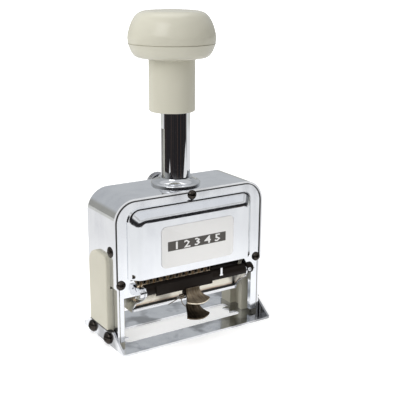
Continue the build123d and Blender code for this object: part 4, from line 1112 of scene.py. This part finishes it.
def studio_floor():
    """White sheet under the machine; bright metal sees it end in a dark table in front."""
    bm = bmesh.new()
    bmesh.ops.create_grid(bm, x_segments=1, y_segments=1, size=FLOOR_HALF)
    mesh = bpy.data.meshes.new("studio_floor")
    bm.to_mesh(mesh)
    bm.free()
    floor = bpy.data.objects.new("studio_floor", mesh)
    bpy.context.scene.collection.objects.link(floor)
    material, tree, shader, place = new_finish("white_sheet")
    shader.inputs["Roughness"].default_value = 0.9
    shader.inputs["Specular IOR Level"].default_value = 0.1
    path = tree.nodes.new("ShaderNodeLightPath")
    glossy = path.outputs["Is Glossy Ray"]
    camera = path.outputs["Is Camera Ray"]
    # Distance from the machine, and how far a point lies round to the front of it
    away = add_node(tree, "SeparateXYZ", [("Vector", place)])
    level = add_node(
        tree, "CombineXYZ", [("X", away.outputs["X"]), ("Y", away.outputs["Y"])],
    ).outputs[0]
    length = add_node(tree, "VectorMath", [("Vector", level)], operation="LENGTH")
    far = length.outputs["Value"]
    round_front = maths(tree, "DIVIDE", facing_share(tree, level, TOWARDS_FRONT), far)
    ahead = maths(tree, "MULTIPLY", away.outputs["Y"], -1.0)
    bearing = maths(tree, "ARCTAN2", away.outputs["X"], ahead)
    mirrored, table = mirrored_floor(tree, far, bearing, round_front)
    bounced = mixed(tree, table, SHEET_MIRRORED, BLACK)
    tree.links.new(mixed(tree, glossy, SHEET_COLOR, bounced), shader.inputs["Base Color"])
    tree.links.new(mixed(tree, glossy, WHITE, mirrored), shader.inputs["Emission Color"])
    lift = ranged(tree, far, *LIFT_BETWEEN, CAMERA_LIFT, CAMERA_LIFT_FAR)
    strength = maths(tree, "ADD", glossy, maths(tree, "MULTIPLY", camera, lift))
    tree.links.new(strength, shader.inputs["Emission Strength"])
    floor.data.materials.append(material)


def studio_world():
    """Soft light all round; bright metal sees a pale ceiling, a grey back wall and a dark room."""
    world = bpy.data.worlds.new("studio")
    bpy.context.scene.world = world
    world.use_nodes = True
    tree = world.node_tree
    ground = tree.nodes["Background"]
    path = tree.nodes.new("ShaderNodeLightPath")
    facing = tree.nodes.new("ShaderNodeTexCoord").outputs["Generated"]
    toward = add_node(tree, "SeparateXYZ", [("Vector", facing)])
    up = toward.outputs["Z"]
    ceiling = rising(tree, up, *CEILING_FROM)
    back = rising(tree, toward.outputs["Y"], low=-0.35, high=0.35)
    # The wall's darker foot stands higher on the left
    foot = ranged(tree, toward.outputs["X"], -0.35, 0.15, *WALL_FOOT)
    skirting = rising(tree, maths(tree, "SUBTRACT", up, foot), low=-0.06, high=0.06)
    grey_wall = mixed(tree, skirting, WALL_LOW, WALL_HIGH)
    # In front: a dark strip of room, then a white screen with a grey band across it
    screen = rising(tree, up, *SCREEN_FROM)
    from_band = maths(tree, "ABSOLUTE", maths(tree, "SUBTRACT", up, SCREEN_BAND_AT))
    off_band = rising(tree, from_band, *SCREEN_BAND_EDGE)
    banded = mixed(tree, off_band, SCREEN_BAND, SHEET_COLOR)
    front = mixed(tree, screen, ROOM_DARK, banded)
    room = mixed(tree, ceiling, mixed(tree, back, front, grey_wall), CEILING)
    lit = facing_share(tree, facing, TOWARDS_FILL)
    fill = grey(tree, ranged(tree, lit, -0.9, 0.9, FILL_RIGHT, FILL_LEFT))
    soft = mixed(tree, path.outputs["Is Camera Ray"], fill, WHITE)
    tree.links.new(mixed(tree, path.outputs["Is Glossy Ray"], soft, room), ground.inputs["Color"])


def soft_box(name, place, aim, size, power, spread):
    """An area lamp at a place, turned to face a point."""
    lamp = bpy.data.lights.new(name, "AREA")
    lamp.shape = "RECTANGLE"
    lamp.size, lamp.size_y = size
    lamp.energy = power
    lamp.spread = math.radians(spread)
    box = bpy.data.objects.new(name, lamp)
    bpy.context.scene.collection.objects.link(box)
    toward = (Vector(aim) - Vector(place)).normalized()
    turn = toward.to_track_quat("-Z", "Y").to_matrix().to_4x4()
    box.matrix_world = Matrix.Translation(place) @ turn
    return box


def place_camera():
    """A long lens, low at the front left."""
    level = math.cos(CAMERA_ELEVATION)
    back = Vector((
        math.sin(CAMERA_AZIMUTH) * level, -math.cos(CAMERA_AZIMUTH) * level,
        math.sin(CAMERA_ELEVATION),
    ))
    right = Vector((math.cos(CAMERA_AZIMUTH), math.sin(CAMERA_AZIMUTH), 0))
    up = back.cross(right)
    across = right * math.cos(CAMERA_ROLL) + up * math.sin(CAMERA_ROLL)
    upright = up * math.cos(CAMERA_ROLL) - right * math.sin(CAMERA_ROLL)
    lens = bpy.data.cameras.new("camera")
    lens.lens = CAMERA_LENS
    lens.sensor_width = CAMERA_SENSOR
    lens.clip_start = 0.01
    lens.clip_end = 50.0
    camera = bpy.data.objects.new("camera", lens)
    bpy.context.scene.collection.objects.link(camera)
    turn = Matrix((across, upright, back)).transposed().to_4x4()
    place = Vector(CAMERA_AIM) + back * CAMERA_DISTANCE
    camera.matrix_world = Matrix.Translation(place) @ turn
    bpy.context.scene.camera = camera


studio_floor()
studio_world()
lamps = {lamp[0]: soft_box(*lamp) for lamp in LAMPS}
lamps["low_box"].visible_glossy = False
place_camera()
bpy.context.scene.view_settings.view_transform = "Standard"
